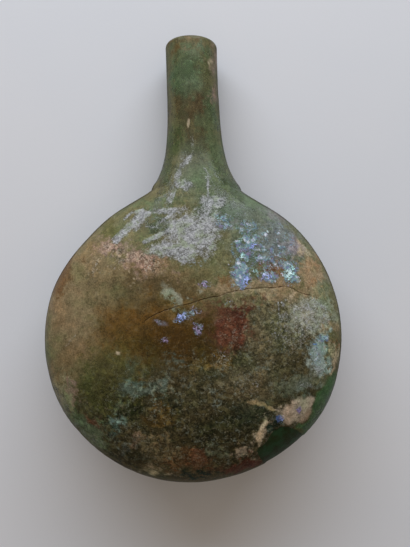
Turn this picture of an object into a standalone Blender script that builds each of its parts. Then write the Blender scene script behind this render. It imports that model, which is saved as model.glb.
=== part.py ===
"""A blown glass perfume flask with a flattened round body, lying on its belly.

Units are metres, with +Z up. The neck points along +Y, and the flask lies on the
plane Z = 0 on a small flat under its belly and on the edge of its lip. The origin
is on that plane, under the middle of the flask's bounding box.

The shape is worked out in the flask's own frame first: there y runs from the
middle of the body along the neck, x across, and z through the thickness.
"""

import math

import bmesh
import bpy
import numpy as np

# Body: a round seen from above, pressed flat while it was hot
BODY_HALF_WIDTH = 0.0472
BODY_HALF_LENGTH = 0.0466
BODY_HALF_THICKNESS = 0.0175
PLAN_ROUNDNESS = 2.0
FACE_ROUNDNESS = 2.25

# Uneven places in the round outline, as (bearing from the neck clockwise in
# degrees, depth, spread in degrees); a negative depth is a bulge
OUTLINE_DENTS = (
    (309.0, 0.0009, 12.0),
    (163.0, 0.0007, 16.0),
    (119.0, -0.0006, 10.0),
    (240.0, -0.0004, 12.0),
)

# Side view: towards the neck the thickness runs out in one long slope
TAPER_END = 0.0580
TAPER_POWER = 1.3

# Neck: a tube that flares softly into the shoulder and leans a little
NECK_RADIUS = 0.00840
NECK_TOP = 0.0946
FLARE_FOOT = 0.0470
FLARE_WIDTH = 0.0062
FLARE_LENGTH = 0.0077
SHOULDER_BLEND = 0.0095
NECK_ROOT_SHIFT = 0.0009
NECK_LEAN_DEG = -2.2
LIP_SWELL = 0.00015
LIP_SWELL_LENGTH = 0.006

# Glass thickness
WALL_BOTTOM = 0.0030
WALL_BODY = 0.0022
WALL_NECK = 0.0027

# Where the flask lies: how much is worn off under the belly and under the lip
BELLY_FLAT_DEPTH = 0.00045
LIP_FLAT_DEPTH = 0.00008

# The chip at the rim: a shallow shell-shaped flake, struck off the edge
CHIP_BEARING_DEG = 134.5
CHIP_DEPTH = 0.00055
CHIP_TOOL_RADIUS = 0.030

# Where body and neck hand over to each other, as shares of the body's half length
NECK_SHIFT_FROM = 0.3
BODY_ENDS = 0.8
NECK_BEGINS = 1.2

# How finely the surface is divided
SEGMENTS = 52
BODY_RINGS = 27
NECK_RINGS = 13
LIP_STEPS = 4
LAST_BODY_RING = 0.86
NECK_RING_SPREAD = 1.15
DIP_HALVINGS = 40

GLASS_COLOUR = (0.20, 0.23, 0.13, 1.0)


def smooth_max(a, b, blend):
    """The larger of two values, rounded over where they come near each other."""
    overlap = max(blend - abs(a - b), 0.0)
    return max(a, b) + overlap**2 / (4 * blend)


def smooth_step(low, high, value):
    """0 below low, 1 above high, and a smooth rise between."""
    t = np.clip((value - low) / (high - low), 0.0, 1.0)
    return t * t * (3 - 2 * t)


def body_curve(y, half_size, roundness):
    """Half the body's size across, at a distance y from its middle."""
    inside = 1 - np.minimum(np.abs(y) / BODY_HALF_LENGTH, 1.0) ** roundness
    return half_size * inside ** (1 / roundness)


def neck_curve(y):
    """Radius of the neck, which swells a little at the lip."""
    return NECK_RADIUS + LIP_SWELL * np.exp((y - NECK_TOP) / LIP_SWELL_LENGTH)


def half_sizes(y):
    """Half the width and half the thickness of the flask's section at y."""
    width = body_curve(y, BODY_HALF_WIDTH, PLAN_ROUNDNESS)
    if y <= 0:
        return width, body_curve(y, BODY_HALF_THICKNESS, FACE_ROUNDNESS)
    neck = neck_curve(y)
    flare = FLARE_WIDTH * math.exp(-max(y - FLARE_FOOT, 0.0) / FLARE_LENGTH)
    left = 1 - min(y / TAPER_END, 1.0) ** 2
    thickness = neck + (BODY_HALF_THICKNESS - NECK_RADIUS) * left**TAPER_POWER
    return smooth_max(width, neck + flare, SHOULDER_BLEND), thickness


def neck_shift(y):
    """How far the middle of the section is off to the side."""
    root = smooth_step(NECK_SHIFT_FROM * BODY_HALF_LENGTH, BODY_HALF_LENGTH, y)
    lean = math.tan(math.radians(NECK_LEAN_DEG))
    return NECK_ROOT_SHIFT * root + lean * max(y - BODY_HALF_LENGTH, 0.0)


def neck_share(y):
    """0 on the body, 1 on the neck."""
    return smooth_step(BODY_ENDS * BODY_HALF_LENGTH, NECK_BEGINS * BODY_HALF_LENGTH, y)


def outline_change(bearing):
    """Radial change of the outline at a bearing, from the dents and the bulges."""
    total = np.zeros_like(bearing)
    for centre, depth, spread in OUTLINE_DENTS:
        away = (bearing - centre + 180) % 360 - 180
        total -= depth * np.exp(-0.5 * (away / spread) ** 2)
    return total


def outer_ring(y):
    """Points of the outer surface round the section at y."""
    width, thickness = half_sizes(y)
    power = 2 / (FACE_ROUNDNESS + (2 - FACE_ROUNDNESS) * neck_share(y))
    turn = np.arange(SEGMENTS) * 2 * math.pi / SEGMENTS
    across, up = np.cos(turn), np.sin(turn)
    points = np.stack(
        [
            width * np.sign(across) * np.abs(across) ** power,
            np.full(SEGMENTS, y),
            thickness * np.sign(up) * np.abs(up) ** power,
        ],
        axis=1,
    )
    bearing = np.degrees(np.arctan2(points[:, 0], points[:, 1]))
    change = outline_change(bearing) / BODY_HALF_WIDTH * (1 - neck_share(y))
    points[:, :2] *= (1 + change)[:, None]
    points[:, 0] += neck_shift(y)
    return points


def ring_places():
    """Places of the rings along the axis: close together at the pole and at the shoulder."""
    last = math.acos(-LAST_BODY_RING)
    body = [
        -BODY_HALF_LENGTH * math.cos(last * i / BODY_RINGS)
        for i in range(1, BODY_RINGS + 1)
    ]
    neck = [
        body[-1] + (NECK_TOP - body[-1]) * (i / NECK_RINGS) ** NECK_RING_SPREAD
        for i in range(1, NECK_RINGS + 1)
    ]
    return body + neck


def outward(rings):
    """Unit normals at the points of a stack of rings."""
    along = np.gradient(rings, axis=0)
    around = np.roll(rings, -1, axis=1) - np.roll(rings, 1, axis=1)
    normals = np.cross(along, around)
    return normals / np.linalg.norm(normals, axis=2, keepdims=True)


def wall_thickness(y):
    """Thickness of the glass at y: heavier at the bottom and in the neck."""
    to_body = smooth_step(-BODY_HALF_LENGTH, -0.5 * BODY_HALF_LENGTH, y)
    body = WALL_BOTTOM + (WALL_BODY - WALL_BOTTOM) * to_body
    return body + (WALL_NECK - WALL_BODY) * neck_share(y)


def flask_rings():
    """Rings from the outer bottom up to the lip, over it, and down inside to the bottom."""
    places = ring_places()
    outer = np.array([outer_ring(y) for y in places])
    normals = outward(outer)
    walls = np.array([wall_thickness(y) for y in places])[:, None, None]
    inner = outer - normals * walls

    axis = np.array([0.0, 1.0, 0.0])
    middle = (outer[-1] + inner[-1]) / 2
    radius = WALL_NECK / 2
    lip = []
    for step in range(1, LIP_STEPS):
        turn = math.pi * step / LIP_STEPS
        lip.append(middle + radius * (math.cos(turn) * normals[-1] + math.sin(turn) * axis))
    return np.concatenate([outer, np.array(lip), inner[::-1]])


def turn_down(points, angle):
    """The points turned about the x axis, so that the neck dips by the angle."""
    cosine, sine = math.cos(angle), math.sin(angle)
    x, y, z = points[..., 0], points[..., 1], points[..., 2]
    return np.stack([x, y * cosine + z * sine, z * cosine - y * sine], axis=-1)


def resting_dip(points):
    """The dip at which belly and lip reach the table together."""
    level, steep = 0.0, math.radians(15)
    on_neck = points[..., 1] > NECK_BEGINS * BODY_HALF_LENGTH
    for _ in range(DIP_HALVINGS):
        dip = (level + steep) / 2
        height = turn_down(points, dip)[..., 2]
        lip = height[on_neck].min() + LIP_FLAT_DEPTH
        belly = height[~on_neck].min() + BELLY_FLAT_DEPTH
        if lip > belly:
            level = dip
        else:
            steep = dip
    return dip


def flask_mesh(rings, bottom, inner_bottom):
    """One closed surface over the rings, with a pole at each end of the stack."""
    work = bmesh.new()
    loops = [[work.verts.new(point) for point in ring] for ring in rings]
    poles = [work.verts.new(bottom), work.verts.new(inner_bottom)]
    for lower, upper in zip(loops, loops[1:]):
        for i in range(SEGMENTS):
            j = (i + 1) % SEGMENTS
            work.faces.new((lower[j], lower[i], upper[i], upper[j]))
    for i in range(SEGMENTS):
        j = (i + 1) % SEGMENTS
        work.faces.new((poles[0], loops[0][i], loops[0][j]))
        work.faces.new((poles[1], loops[-1][j], loops[-1][i]))
    bmesh.ops.recalc_face_normals(work, faces=work.faces)
    mesh = bpy.data.meshes.new("flask")
    work.to_mesh(mesh)
    work.free()
    return mesh


def glass():
    """Old green glass."""
    material = bpy.data.materials.new("flask glass")
    material.use_nodes = True
    shader = material.node_tree.nodes["Principled BSDF"]
    shader.inputs["Base Color"].default_value = GLASS_COLOUR
    shader.inputs["Roughness"].default_value = 0.35
    shader.inputs["Metallic"].default_value = 0.0
    return material


def hidden_cutter(name, work, location):
    """An object that only cuts, from a bmesh."""
    mesh = bpy.data.meshes.new(name)
    work.to_mesh(mesh)
    work.free()
    cutter = bpy.data.objects.new(name, mesh)
    cutter.location = location
    cutter.hide_render = True
    cutter.display_type = "WIRE"
    bpy.context.scene.collection.objects.link(cutter)
    return cutter


def table_cutter():
    """The block below Z = 0 that takes off the small flats under belly and lip."""
    side = 3 * NECK_TOP
    work = bmesh.new()
    bmesh.ops.create_cube(work, size=side)
    return hidden_cutter("table cutter", work, (0, 0, -side / 2))


def chip_cutter(place):
    """The ball whose side takes the chip off the rim."""
    work = bmesh.new()
    bmesh.ops.create_icosphere(work, subdivisions=4, radius=CHIP_TOOL_RADIUS)
    return hidden_cutter("chip cutter", work, place)


def cut(piece, cutter):
    """The piece less the cutter."""
    modifier = piece.modifiers.new(cutter.name, "BOOLEAN")
    modifier.operation = "DIFFERENCE"
    modifier.solver = "EXACT"
    modifier.object = cutter


def build():
    """The flask, placed as it lies."""
    for old in list(bpy.data.objects):
        bpy.data.objects.remove(old)

    rings = flask_rings()
    bottom = outer_ring(-BODY_HALF_LENGTH)[0]
    inner_bottom = bottom + np.array([0.0, WALL_BOTTOM, 0.0])
    bearing = math.radians(CHIP_BEARING_DEG)
    chip_reach = BODY_HALF_WIDTH + CHIP_TOOL_RADIUS - CHIP_DEPTH
    chip_place = chip_reach * np.array([math.sin(bearing), math.cos(bearing), 0.0])

    dip = resting_dip(rings)
    rings, bottom, inner_bottom, chip_place = (
        turn_down(points, dip) for points in (rings, bottom, inner_bottom, chip_place)
    )
    low = rings.min(axis=(0, 1))
    high = rings.max(axis=(0, 1))
    shift = np.array([
        -(low[0] + high[0]) / 2,
        -(low[1] + high[1]) / 2,
        -low[2] - BELLY_FLAT_DEPTH,
    ])

    flask = bpy.data.objects.new(
        "flask", flask_mesh(rings + shift, bottom + shift, inner_bottom + shift)
    )
    bpy.context.scene.collection.objects.link(flask)
    flask.data.materials.append(glass())
    flask.data.shade_smooth()
    cut(flask, table_cutter())
    cut(flask, chip_cutter(chip_place + shift))


build()
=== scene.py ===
# %% [markdown]
# # An old blown glass perfume flask
#
# The flask is one piece of greenish glass. A glassblower blew a bubble, pressed it flat
# between two boards, and drew the neck out as a plain tube. Then it lay in the ground for
# a very long time: the surface turned milky in some places, crusty and pitted in others,
# and split into thin films that shine blue and violet.
#
# In Blender there are two jobs, then. The first is the true form, which follows a rule and
# so can be grown from a few curves. The second is the weathered skin, and that needs most
# of the work: painted patches, real relief and a material that puts it all together.

# %% Load the fixed frame
import math

import bpy
import mathutils
import numpy as np
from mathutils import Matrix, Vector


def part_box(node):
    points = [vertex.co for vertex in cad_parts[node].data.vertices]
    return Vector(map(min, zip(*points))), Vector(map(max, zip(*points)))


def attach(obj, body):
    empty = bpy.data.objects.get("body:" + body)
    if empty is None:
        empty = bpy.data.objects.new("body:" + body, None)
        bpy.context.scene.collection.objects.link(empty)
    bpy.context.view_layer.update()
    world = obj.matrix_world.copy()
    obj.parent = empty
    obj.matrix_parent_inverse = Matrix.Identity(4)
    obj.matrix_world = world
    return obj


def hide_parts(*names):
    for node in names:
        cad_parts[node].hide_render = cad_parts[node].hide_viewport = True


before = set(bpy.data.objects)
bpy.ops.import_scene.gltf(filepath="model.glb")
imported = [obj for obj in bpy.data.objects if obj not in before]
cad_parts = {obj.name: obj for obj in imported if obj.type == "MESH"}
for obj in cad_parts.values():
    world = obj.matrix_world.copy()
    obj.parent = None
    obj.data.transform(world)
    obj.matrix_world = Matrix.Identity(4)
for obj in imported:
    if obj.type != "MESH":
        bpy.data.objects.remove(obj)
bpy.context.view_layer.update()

FLASK_LOW, FLASK_HIGH = (np.array(corner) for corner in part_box("flask"))
MM = 0.001
print("flask box, mm:", np.round((FLASK_HIGH - FLASK_LOW) / MM, 1))

# %% [markdown]
# ## The sizes of the flask
#
# The form is worked out in the flask's own frame: y runs from the middle of the body along
# the neck, x across and z through the thickness. Every size has a name, so the whole form
# can be changed here. Blown glass is never quite even, and three wall thicknesses, for the
# bottom, the body and the neck, are enough to show it.

# %% Sizes, in metres
BODY_HALF_WIDTH = 0.0472
BODY_HALF_LENGTH = 0.0466
BODY_HALF_THICKNESS = 0.0175
PLAN_ROUNDNESS = 2.0
FACE_ROUNDNESS = 2.25

TAPER_END = 0.0580
TAPER_POWER = 1.3
NECK_RADIUS = 0.00840
NECK_TOP = 0.0946
FLARE_FOOT = 0.0470
FLARE_WIDTH = 0.0062
FLARE_LENGTH = 0.0077
SHOULDER_BLEND = 0.0095
NECK_ROOT_SHIFT = 0.0009
NECK_LEAN = math.tan(math.radians(-2.2))
LIP_SWELL = 0.00015
LIP_SWELL_LENGTH = 0.006

WALL_BOTTOM = 0.0030
WALL_BODY = 0.0022
WALL_NECK = 0.0027
print("whole length, mm:", round((BODY_HALF_LENGTH + NECK_TOP) / MM, 1))

# %% [markdown]
# ## The curve of the body
#
# Seen from above the body is a circle; seen from the side it is a flatter, squarer oval.
# A *superellipse* does both: with power 2 it is a plain ellipse, with a little more it
# grows square shoulders. A smooth step, from 0 to 1 without a corner at either end, is the
# other thing that is needed all the time.

# %% Smooth steps and the superellipse
def smooth_max(a, b, blend):
    overlap = np.maximum(blend - np.abs(a - b), 0.0)
    return np.maximum(a, b) + overlap**2 / (4 * blend)


def smooth_step(low, high, value):
    t = np.clip((value - low) / (high - low), 0.0, 1.0)
    return t * t * (3 - 2 * t)


def body_curve(y, half_size, roundness):
    inside = 1 - np.minimum(np.abs(y) / BODY_HALF_LENGTH, 1.0) ** roundness
    return half_size * inside ** (1 / roundness)


middle_width = float(body_curve(np.array(0.0), BODY_HALF_WIDTH, PLAN_ROUNDNESS))
print("half width at the middle, mm:", round(middle_width / MM, 2))

# %% [markdown]
# ## Body and neck together
#
# Along the flask the width and the thickness follow the body first and the tube of the
# neck after it. Where they meet, a smooth maximum of the two widths gives the soft shoulder
# that pulled glass has. The neck also leans a little to one side, and the lip swells.

# %% Half the width and half the thickness at a place along the flask
def neck_share(y):
    """0 on the body and 1 on the neck."""
    return smooth_step(0.8 * BODY_HALF_LENGTH, 1.2 * BODY_HALF_LENGTH, y)


def neck_radius(y):
    """The tube's radius, which swells a little at the lip."""
    return NECK_RADIUS + LIP_SWELL * np.exp((y - NECK_TOP) / LIP_SWELL_LENGTH)


def half_width(y):
    body = body_curve(y, BODY_HALF_WIDTH, PLAN_ROUNDNESS)
    flare = FLARE_WIDTH * np.exp(-np.maximum(y - FLARE_FOOT, 0) / FLARE_LENGTH)
    return np.where(y <= 0, body, smooth_max(body, neck_radius(y) + flare, SHOULDER_BLEND))


def half_thickness(y):
    body = body_curve(y, BODY_HALF_THICKNESS, FACE_ROUNDNESS)
    left = (1 - np.clip(y / TAPER_END, 0.0, 1.0) ** 2) ** TAPER_POWER
    return np.where(y <= 0, body, neck_radius(y) + (BODY_HALF_THICKNESS - NECK_RADIUS) * left)


def sideways(y):
    """How far the middle of the section is to one side: the neck leans a little."""
    root = smooth_step(0.3 * BODY_HALF_LENGTH, BODY_HALF_LENGTH, y)
    return NECK_ROOT_SHIFT * root + NECK_LEAN * np.maximum(y - BODY_HALF_LENGTH, 0.0)


def wall(y):
    above_bottom = smooth_step(-1.0, -0.5, y / BODY_HALF_LENGTH)
    body = WALL_BOTTOM + (WALL_BODY - WALL_BOTTOM) * above_bottom
    return body + (WALL_NECK - WALL_BODY) * neck_share(y)


print("half width at the shoulder, mm:", round(float(half_width(np.array(FLARE_FOOT))) / MM, 2))

# %% [markdown]
# ## The outer and the inner curve
#
# The rows of the skin are spread so that they cut the side profile into equal lengths.
# Rows at equal steps of y would be far apart at the blunt bottom of the body. The inner
# curve is the outer one moved in by the thickness of the glass, at right angles to the
# curve, so the wall is even.

# %% Two curves, one glass wall apart
BODY_ROWS = 215
NECK_ROWS = 52


def equal_steps(y, count):
    """The places along y that cut the side profile into equal lengths."""
    length = np.hypot(np.diff(y), np.diff(half_thickness(y)))
    along = np.concatenate([[0], np.cumsum(length)])
    return np.interp(np.linspace(0, along[-1], count), along, y)


def moved_in(y, size, depth):
    """A curve of sizes over y, moved in by depth at right angles to itself."""
    dy, ds = np.gradient(y), np.gradient(size)
    length = np.hypot(dy, ds)
    return y + depth * ds / length, size - depth * dy / length


body_y = -BODY_HALF_LENGTH * np.cos(np.linspace(0, math.pi, 4001))
neck_y = np.linspace(BODY_HALF_LENGTH, NECK_TOP, NECK_ROWS)[1:]
outer_y = np.concatenate([equal_steps(body_y, BODY_ROWS), neck_y])
outer_width, outer_thick = half_width(outer_y), half_thickness(outer_y)

inner_y, inner_width = moved_in(outer_y, outer_width, wall(outer_y))
_, inner_thick = moved_in(outer_y, outer_thick, wall(outer_y))
inner_y[0], inner_width[0], inner_thick[0] = outer_y[0] + WALL_BOTTOM, 0.0, 0.0
print("rows outside:", len(outer_y))

# %% [markdown]
# ## The spine
#
# The outer skin, the rounded lip and the inner skin are one single surface: it starts at
# the bottom, climbs to the lip, folds over it and goes down again inside. So one chain of
# stations can carry all of it. Each station is a point with a few numbers: how wide, how
# thick, how square its section is, and whether it is inside. Nobody sees much of the
# inside, so it keeps one row in seven.

# %% Stations from the outer bottom over the lip to the inner bottom
INNER_STEP = 7
INNER_GAP_AT_LIP = 3
LIP_ROWS = 8
last = len(outer_y) - 1
kept_rows = np.arange(0, last + 1, INNER_STEP)[::-1]
inner_rows = np.concatenate([[last], kept_rows[kept_rows <= last - INNER_GAP_AT_LIP]])
lip_turn = np.linspace(0, math.pi, LIP_ROWS + 2)[1:-1]
lip_out = (np.cos(lip_turn) - 1) * WALL_NECK / 2
lip_y = outer_y[-1] + np.sin(lip_turn) * WALL_NECK / 2


def chain(outer, lip, inner):
    """Values from the outer bottom over the lip to the inner bottom."""
    return np.concatenate([outer, lip, inner[inner_rows]])


station_y = chain(outer_y, lip_y, inner_y)
stations = {
    "half_width": chain(outer_width, outer_width[-1] + lip_out, inner_width),
    "half_thickness": chain(outer_thick, outer_thick[-1] + lip_out, inner_thick),
    "power": 2 / (FACE_ROUNDNESS + (2 - FACE_ROUNDNESS) * neck_share(station_y)),
    "inside": chain(np.zeros(last + 1), np.linspace(0, 1, LIP_ROWS), np.ones(last + 1)),
}
print("stations:", len(station_y))

# %% [markdown]
# The chain becomes a small mesh of loose points, one for each station, because that is
# what Geometry Nodes can read. The numbers ride on it as named layers.

# %% The spine as a mesh
def write_layer(mesh, name, values, kind="FLOAT", field="value"):
    """Numbers or colours for the points of a mesh, under a name."""
    layer = mesh.attributes.new(name, kind, "POINT")
    layer.data.foreach_set(field, values.astype(np.float32).ravel())


def in_scene(name, data):
    """A new object in the scene."""
    made = bpy.data.objects.new(name, data)
    bpy.context.scene.collection.objects.link(made)
    return made


spine_mesh = bpy.data.meshes.new("spine")
spine_mesh.vertices.add(len(station_y))
spine_points = np.column_stack([sideways(station_y), station_y, np.zeros(len(station_y))])
spine_mesh.vertices.foreach_set("co", spine_points.ravel())
for name, values in stations.items():
    write_layer(spine_mesh, name, np.maximum(values, 0.0))
spine = in_scene("spine", spine_mesh)
print("numbers on the spine:", ", ".join(stations))

# %% [markdown]
# ## A helper for node trees
#
# Geometry Nodes and materials are both node trees. One helper adds a node and fills its
# inputs, with a value or with a link. A socket knows the tree that it belongs to, so the
# helpers that start from sockets can find the tree by themselves.

# %% A helper that adds nodes
def add(tree, kind, inputs=None, **settings):
    """A new node, with its settings and with values or links on its inputs."""
    new = tree.nodes.new(kind)
    for name, value in settings.items():
        setattr(new, name, value)
    for key, value in (inputs or {}).items():
        if isinstance(value, bpy.types.NodeSocket):
            tree.links.new(value, new.inputs[key])
        else:
            new.inputs[key].default_value = value
    return new


def tree_of(*values):
    """The tree of the first socket among the values."""
    return next(value.id_data for value in values if isinstance(value, bpy.types.NodeSocket))


print("node helper ready")

# %% [markdown]
# Arithmetic takes most of the nodes. With these helpers a sum of noises can be written
# nearly as it is thought, and a smooth rise is one word.

# %% Helpers that do arithmetic
def calc(operation, *values, clamp=False):
    """Arithmetic on sockets and numbers."""
    inputs = dict(enumerate(values))
    settings = {"operation": operation, "use_clamp": clamp}
    return add(tree_of(*values), "ShaderNodeMath", inputs, **settings).outputs[0]


def times(first, *others):
    for other in others:
        first = calc("MULTIPLY", first, other)
    return first


def plus(first, *others):
    for other in others:
        first = calc("ADD", first, other)
    return first


def scaled(vector, factor):
    """A vector or a colour, times a number."""
    tree, inputs = tree_of(vector, factor), {0: vector, "Scale": factor}
    return add(tree, "ShaderNodeVectorMath", inputs, operation="SCALE").outputs[0]


def fade(value, low, high, start=0.0, end=1.0):
    """A smooth rise from start to end as the value goes from low to high."""
    inputs = {"Value": value, "From Min": low, "From Max": high, "To Min": start, "To Max": end}
    smooth = add(tree_of(value), "ShaderNodeMapRange", inputs, interpolation_type="SMOOTHSTEP")
    return smooth.outputs[0]


print("arithmetic ready")

# %% [markdown]
# ## Growing a mesh with Geometry Nodes
#
# Both trees of this lesson are built by the script and used once. A tree gets named
# inputs, and a modifier hands them their values by each socket's identifier. The result
# becomes a plain mesh, which is what the frame can work with, and the modifier is taken
# away again.

# %% Helpers that make a tree and use it
def new_group(name, sockets):
    """An empty Geometry Nodes tree with named inputs."""
    tree = bpy.data.node_groups.new(name, "GeometryNodeTree")
    tree.interface.new_socket("Geometry", in_out="INPUT", socket_type="NodeSocketGeometry")
    for label, kind in sockets.items():
        tree.interface.new_socket(label, in_out="INPUT", socket_type="NodeSocket" + kind)
    tree.interface.new_socket("Geometry", in_out="OUTPUT", socket_type="NodeSocketGeometry")
    return tree


def end_group(tree, skin, material):
    """The end of a tree: real geometry, with its material."""
    skin = add(tree, "GeometryNodeRealizeInstances", {"Geometry": skin}).outputs[0]
    skin = add(tree, "GeometryNodeSetMaterial", {"Geometry": skin, "Material": material}).outputs[0]
    add(tree, "NodeGroupOutput", {"Geometry": skin})


def grown(piece, tree, values, name):
    """The plain mesh that a tree makes of a piece, with the tree's inputs set."""
    modifier = piece.modifiers.new(tree.name, "NODES")
    modifier.node_group = tree
    for item in tree.interface.items_tree:
        if item.in_out == "INPUT" and item.name in values:
            modifier[item.identifier] = values[item.name]
    graph = bpy.context.evaluated_depsgraph_get()
    mesh = bpy.data.meshes.new_from_object(piece.evaluated_get(graph), depsgraph=graph)
    piece.modifiers.remove(modifier)
    mesh.name = name
    return mesh


def stored(tree, name, kind="FLOAT"):
    """The numbers that a mesh carries under a name."""
    return add(tree, "GeometryNodeInputNamedAttribute", {"Name": name}, data_type=kind).outputs[0]


print("helpers for growing ready")

# %% [markdown]
# ## The skin, grown along the spine
#
# A grid has one row of points for each station. Each point looks up its station, takes a
# turn round the section and goes to its place on the superellipse. The last column lands
# on the first and each pole is one point many times over, so merging by distance closes
# the seam and both ends. The columns crowd together on the top of the flask.

# %% The tree that grows the skin
MERGE_DISTANCE = 2e-6


def skin_tree():
    tree = new_group("skin", {"Columns": "Int", "Crowding": "Float", "Material": "Material"})
    given = add(tree, "NodeGroupInput").outputs
    spine_in = given["Geometry"]
    rows = add(tree, "GeometryNodeAttributeDomainSize", {0: spine_in}).outputs["Point Count"]
    per_row = add(tree, "FunctionNodeIntegerMath", {0: given["Columns"], 1: 1}).outputs[0]
    grid = {"Vertices X": rows, "Vertices Y": per_row}
    grid = add(tree, "GeometryNodeMeshGrid", grid).outputs["Mesh"]
    index = add(tree, "GeometryNodeInputIndex").outputs[0]
    station, column = (
        add(tree, "FunctionNodeIntegerMath", {0: index, 1: per_row}, operation=operation).outputs[0]
        for operation in ("DIVIDE_FLOOR", "MODULO")
    )

    def of_station(value, kind="FLOAT"):
        inputs = {"Geometry": spine_in, "Value": value, "Index": station}
        return add(tree, "GeometryNodeSampleIndex", inputs, data_type=kind).outputs[0]

    circle = times(calc("DIVIDE", column, given["Columns"]), 2 * math.pi)
    turn = plus(circle, times(calc("COSINE", circle), given["Crowding"]))
    power = of_station(stored(tree, "power"))

    def reach(trig, size):
        swing = calc(trig, turn)
        bent = calc("POWER", calc("ABSOLUTE", swing), power)
        return times(calc("SIGN", swing), bent, size)

    across = reach("COSINE", of_station(stored(tree, "half_width")))
    up = reach("SINE", of_station(stored(tree, "half_thickness")))
    offset = add(tree, "ShaderNodeCombineXYZ", {"X": across, "Z": up}).outputs[0]
    middle = of_station(add(tree, "GeometryNodeInputPosition").outputs[0], "FLOAT_VECTOR")
    place = add(tree, "ShaderNodeVectorMath", {0: middle, 1: offset}).outputs[0]

    skin = add(tree, "GeometryNodeSetPosition", {"Geometry": grid, "Position": place}).outputs[0]
    inside = {"Geometry": skin, "Name": "inside", "Value": of_station(stored(tree, "inside"))}
    skin = add(tree, "GeometryNodeStoreNamedAttribute", inside).outputs[0]
    merged = {"Geometry": skin, "Distance": MERGE_DISTANCE}
    skin = add(tree, "GeometryNodeMergeByDistance", merged).outputs[0]
    skin = add(tree, "GeometryNodeSetShadeSmooth", {"Geometry": skin}).outputs[0]
    end_group(tree, skin, given["Material"])
    return tree


print("skin tree defined")

# %% [markdown]
# The grid is fine enough for relief of a few tenths of a millimetre, and stays under
# 200,000 triangles. The material has only a name so far; it is filled in at the end.

# %% Grow it
COLUMNS = 318
COLUMN_CROWDING = 0.55
old_glass = bpy.data.materials.new("old glass")
skin_values = {"Columns": COLUMNS, "Crowding": COLUMN_CROWDING, "Material": old_glass}
flask_mesh = grown(spine, skin_tree(), skin_values, "old_flask")
bpy.data.objects.remove(spine)
print("skin:", len(flask_mesh.vertices), "points,", len(flask_mesh.polygons), "faces")

# %% [markdown]
# ## Uneven, and chipped
#
# No blown flask is a perfect round. A few soft dents and bulges are pressed into the
# outline at their compass bearings. Then a shallow shell-shaped chip is taken out of the
# edge: every outer point inside a ball there is pushed out to the surface of the ball.

# %% Dents and the chip
OUTLINE_DENTS = ((309, 0.0009, 12), (163, 0.0007, 16), (119, -0.0006, 10), (240, -0.0004, 12))
CHIP_BEARING = math.radians(134.5)
CHIP_DEPTH = 0.00055
CHIP_RADIUS = 0.030


def points_of(mesh):
    flat = np.empty(len(mesh.vertices) * 3)
    mesh.vertices.foreach_get("co", flat)
    return flat.reshape(-1, 3)


own = points_of(flask_mesh)
inside = np.empty(len(own), dtype=np.float32)
flask_mesh.attributes["inside"].data.foreach_get("value", inside)
inside = inside.astype(float)
bearing = np.degrees(np.arctan2(own[:, 0], own[:, 1]))
change = np.zeros(len(own))
for centre, dent, spread in OUTLINE_DENTS:
    away = (bearing - centre + 180) % 360 - 180
    change -= dent * np.exp(-0.5 * (away / spread) ** 2)
own[:, :2] *= (1 + change / BODY_HALF_WIDTH * (1 - neck_share(own[:, 1])))[:, None]

chip_reach = BODY_HALF_WIDTH + CHIP_RADIUS - CHIP_DEPTH
chip_centre = chip_reach * np.array([math.sin(CHIP_BEARING), math.cos(CHIP_BEARING), 0.0])
away = own - chip_centre
distance = np.linalg.norm(away, axis=1)
chipped = (distance < CHIP_RADIUS) & (inside < 0.01)
own[chipped] = chip_centre + away[chipped] * (CHIP_RADIUS / distance[chipped])[:, None]
print("the chip moved", int(chipped.sum()), "points")

# %% [markdown]
# ## Laid down
#
# The flask lies on its belly: it tips forward until belly and lip both touch the table.
# What would sink into the table is flattened by a hair, so it rests on two small flats.

# %% Tip it and set it in the box of the plain solid
DIP = math.radians(5.58475)
cosine, sine = math.cos(DIP), math.sin(DIP)
points = np.column_stack([own[:, 0], own[:, 1] * cosine + own[:, 2] * sine,
                          own[:, 2] * cosine - own[:, 1] * sine])
low, high = points.min(axis=0), points.max(axis=0)
points[:, :2] += (FLASK_LOW + FLASK_HIGH)[:2] / 2 - (low + high)[:2] / 2
points[:, 2] += FLASK_HIGH[2] - high[2]
print("sinks into the table by, mm:", round(-points[:, 2].min() / MM, 3))
points[:, 2] = np.maximum(points[:, 2], 0.0)
flask_mesh.vertices.foreach_set("co", points.ravel())
flask_mesh.update()
print("size, mm:", np.round((points.max(0) - points.min(0)) / MM, 2))

# %% [markdown]
# ## A language for patches
#
# The weathering is a map of patches: tan film here, brown silt there, a milky flake below
# the neck. Each patch is a soft oval in millimetres, seen from above. Painting them as
# plain ovals would look like spots of paint, so every point looks up the map at a place
# that has *wandered* a little, by smooth noise with waves of three sizes. That tears the
# edges the way real weathering does. Some things tear less than others: milk has only
# drifted, and plaques are nearly where they are said to be.
#
# Blender's noise starts from a new number every time unless it is given one, so a fixed
# seed keeps the torn edges the same in every run.

# %% Wandering places
NOISE_SEED = 411
COARSE_WAVES, FINE_WAVES, FINEST_WAVES = 9.0, 2.6, 1.1
STRAY_WAVES, FINE_STRAY_WAVES = 7.0, 2.0


def wander_field(places, size, seed):
    """Smooth noise vectors, one for each place; size is that of its waves."""
    start = mathutils.Vector((seed * 17.3, seed * 5.1, seed * 9.7))
    smooth = mathutils.noise.noise_vector
    return np.array([smooth(mathutils.Vector(place) / size + start) for place in places])


def noise_field(places, size, seed, octaves=4):
    """Smooth noise from about -1 to 1 with finer and finer waves on it."""
    start = mathutils.Vector((seed * 11.9, seed * 7.7, seed * 3.1))
    rough = mathutils.noise.fractal
    values = [rough(mathutils.Vector(place) / size + start, 0.9, 2.1, octaves) for place in places]
    return np.array(values)


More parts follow.
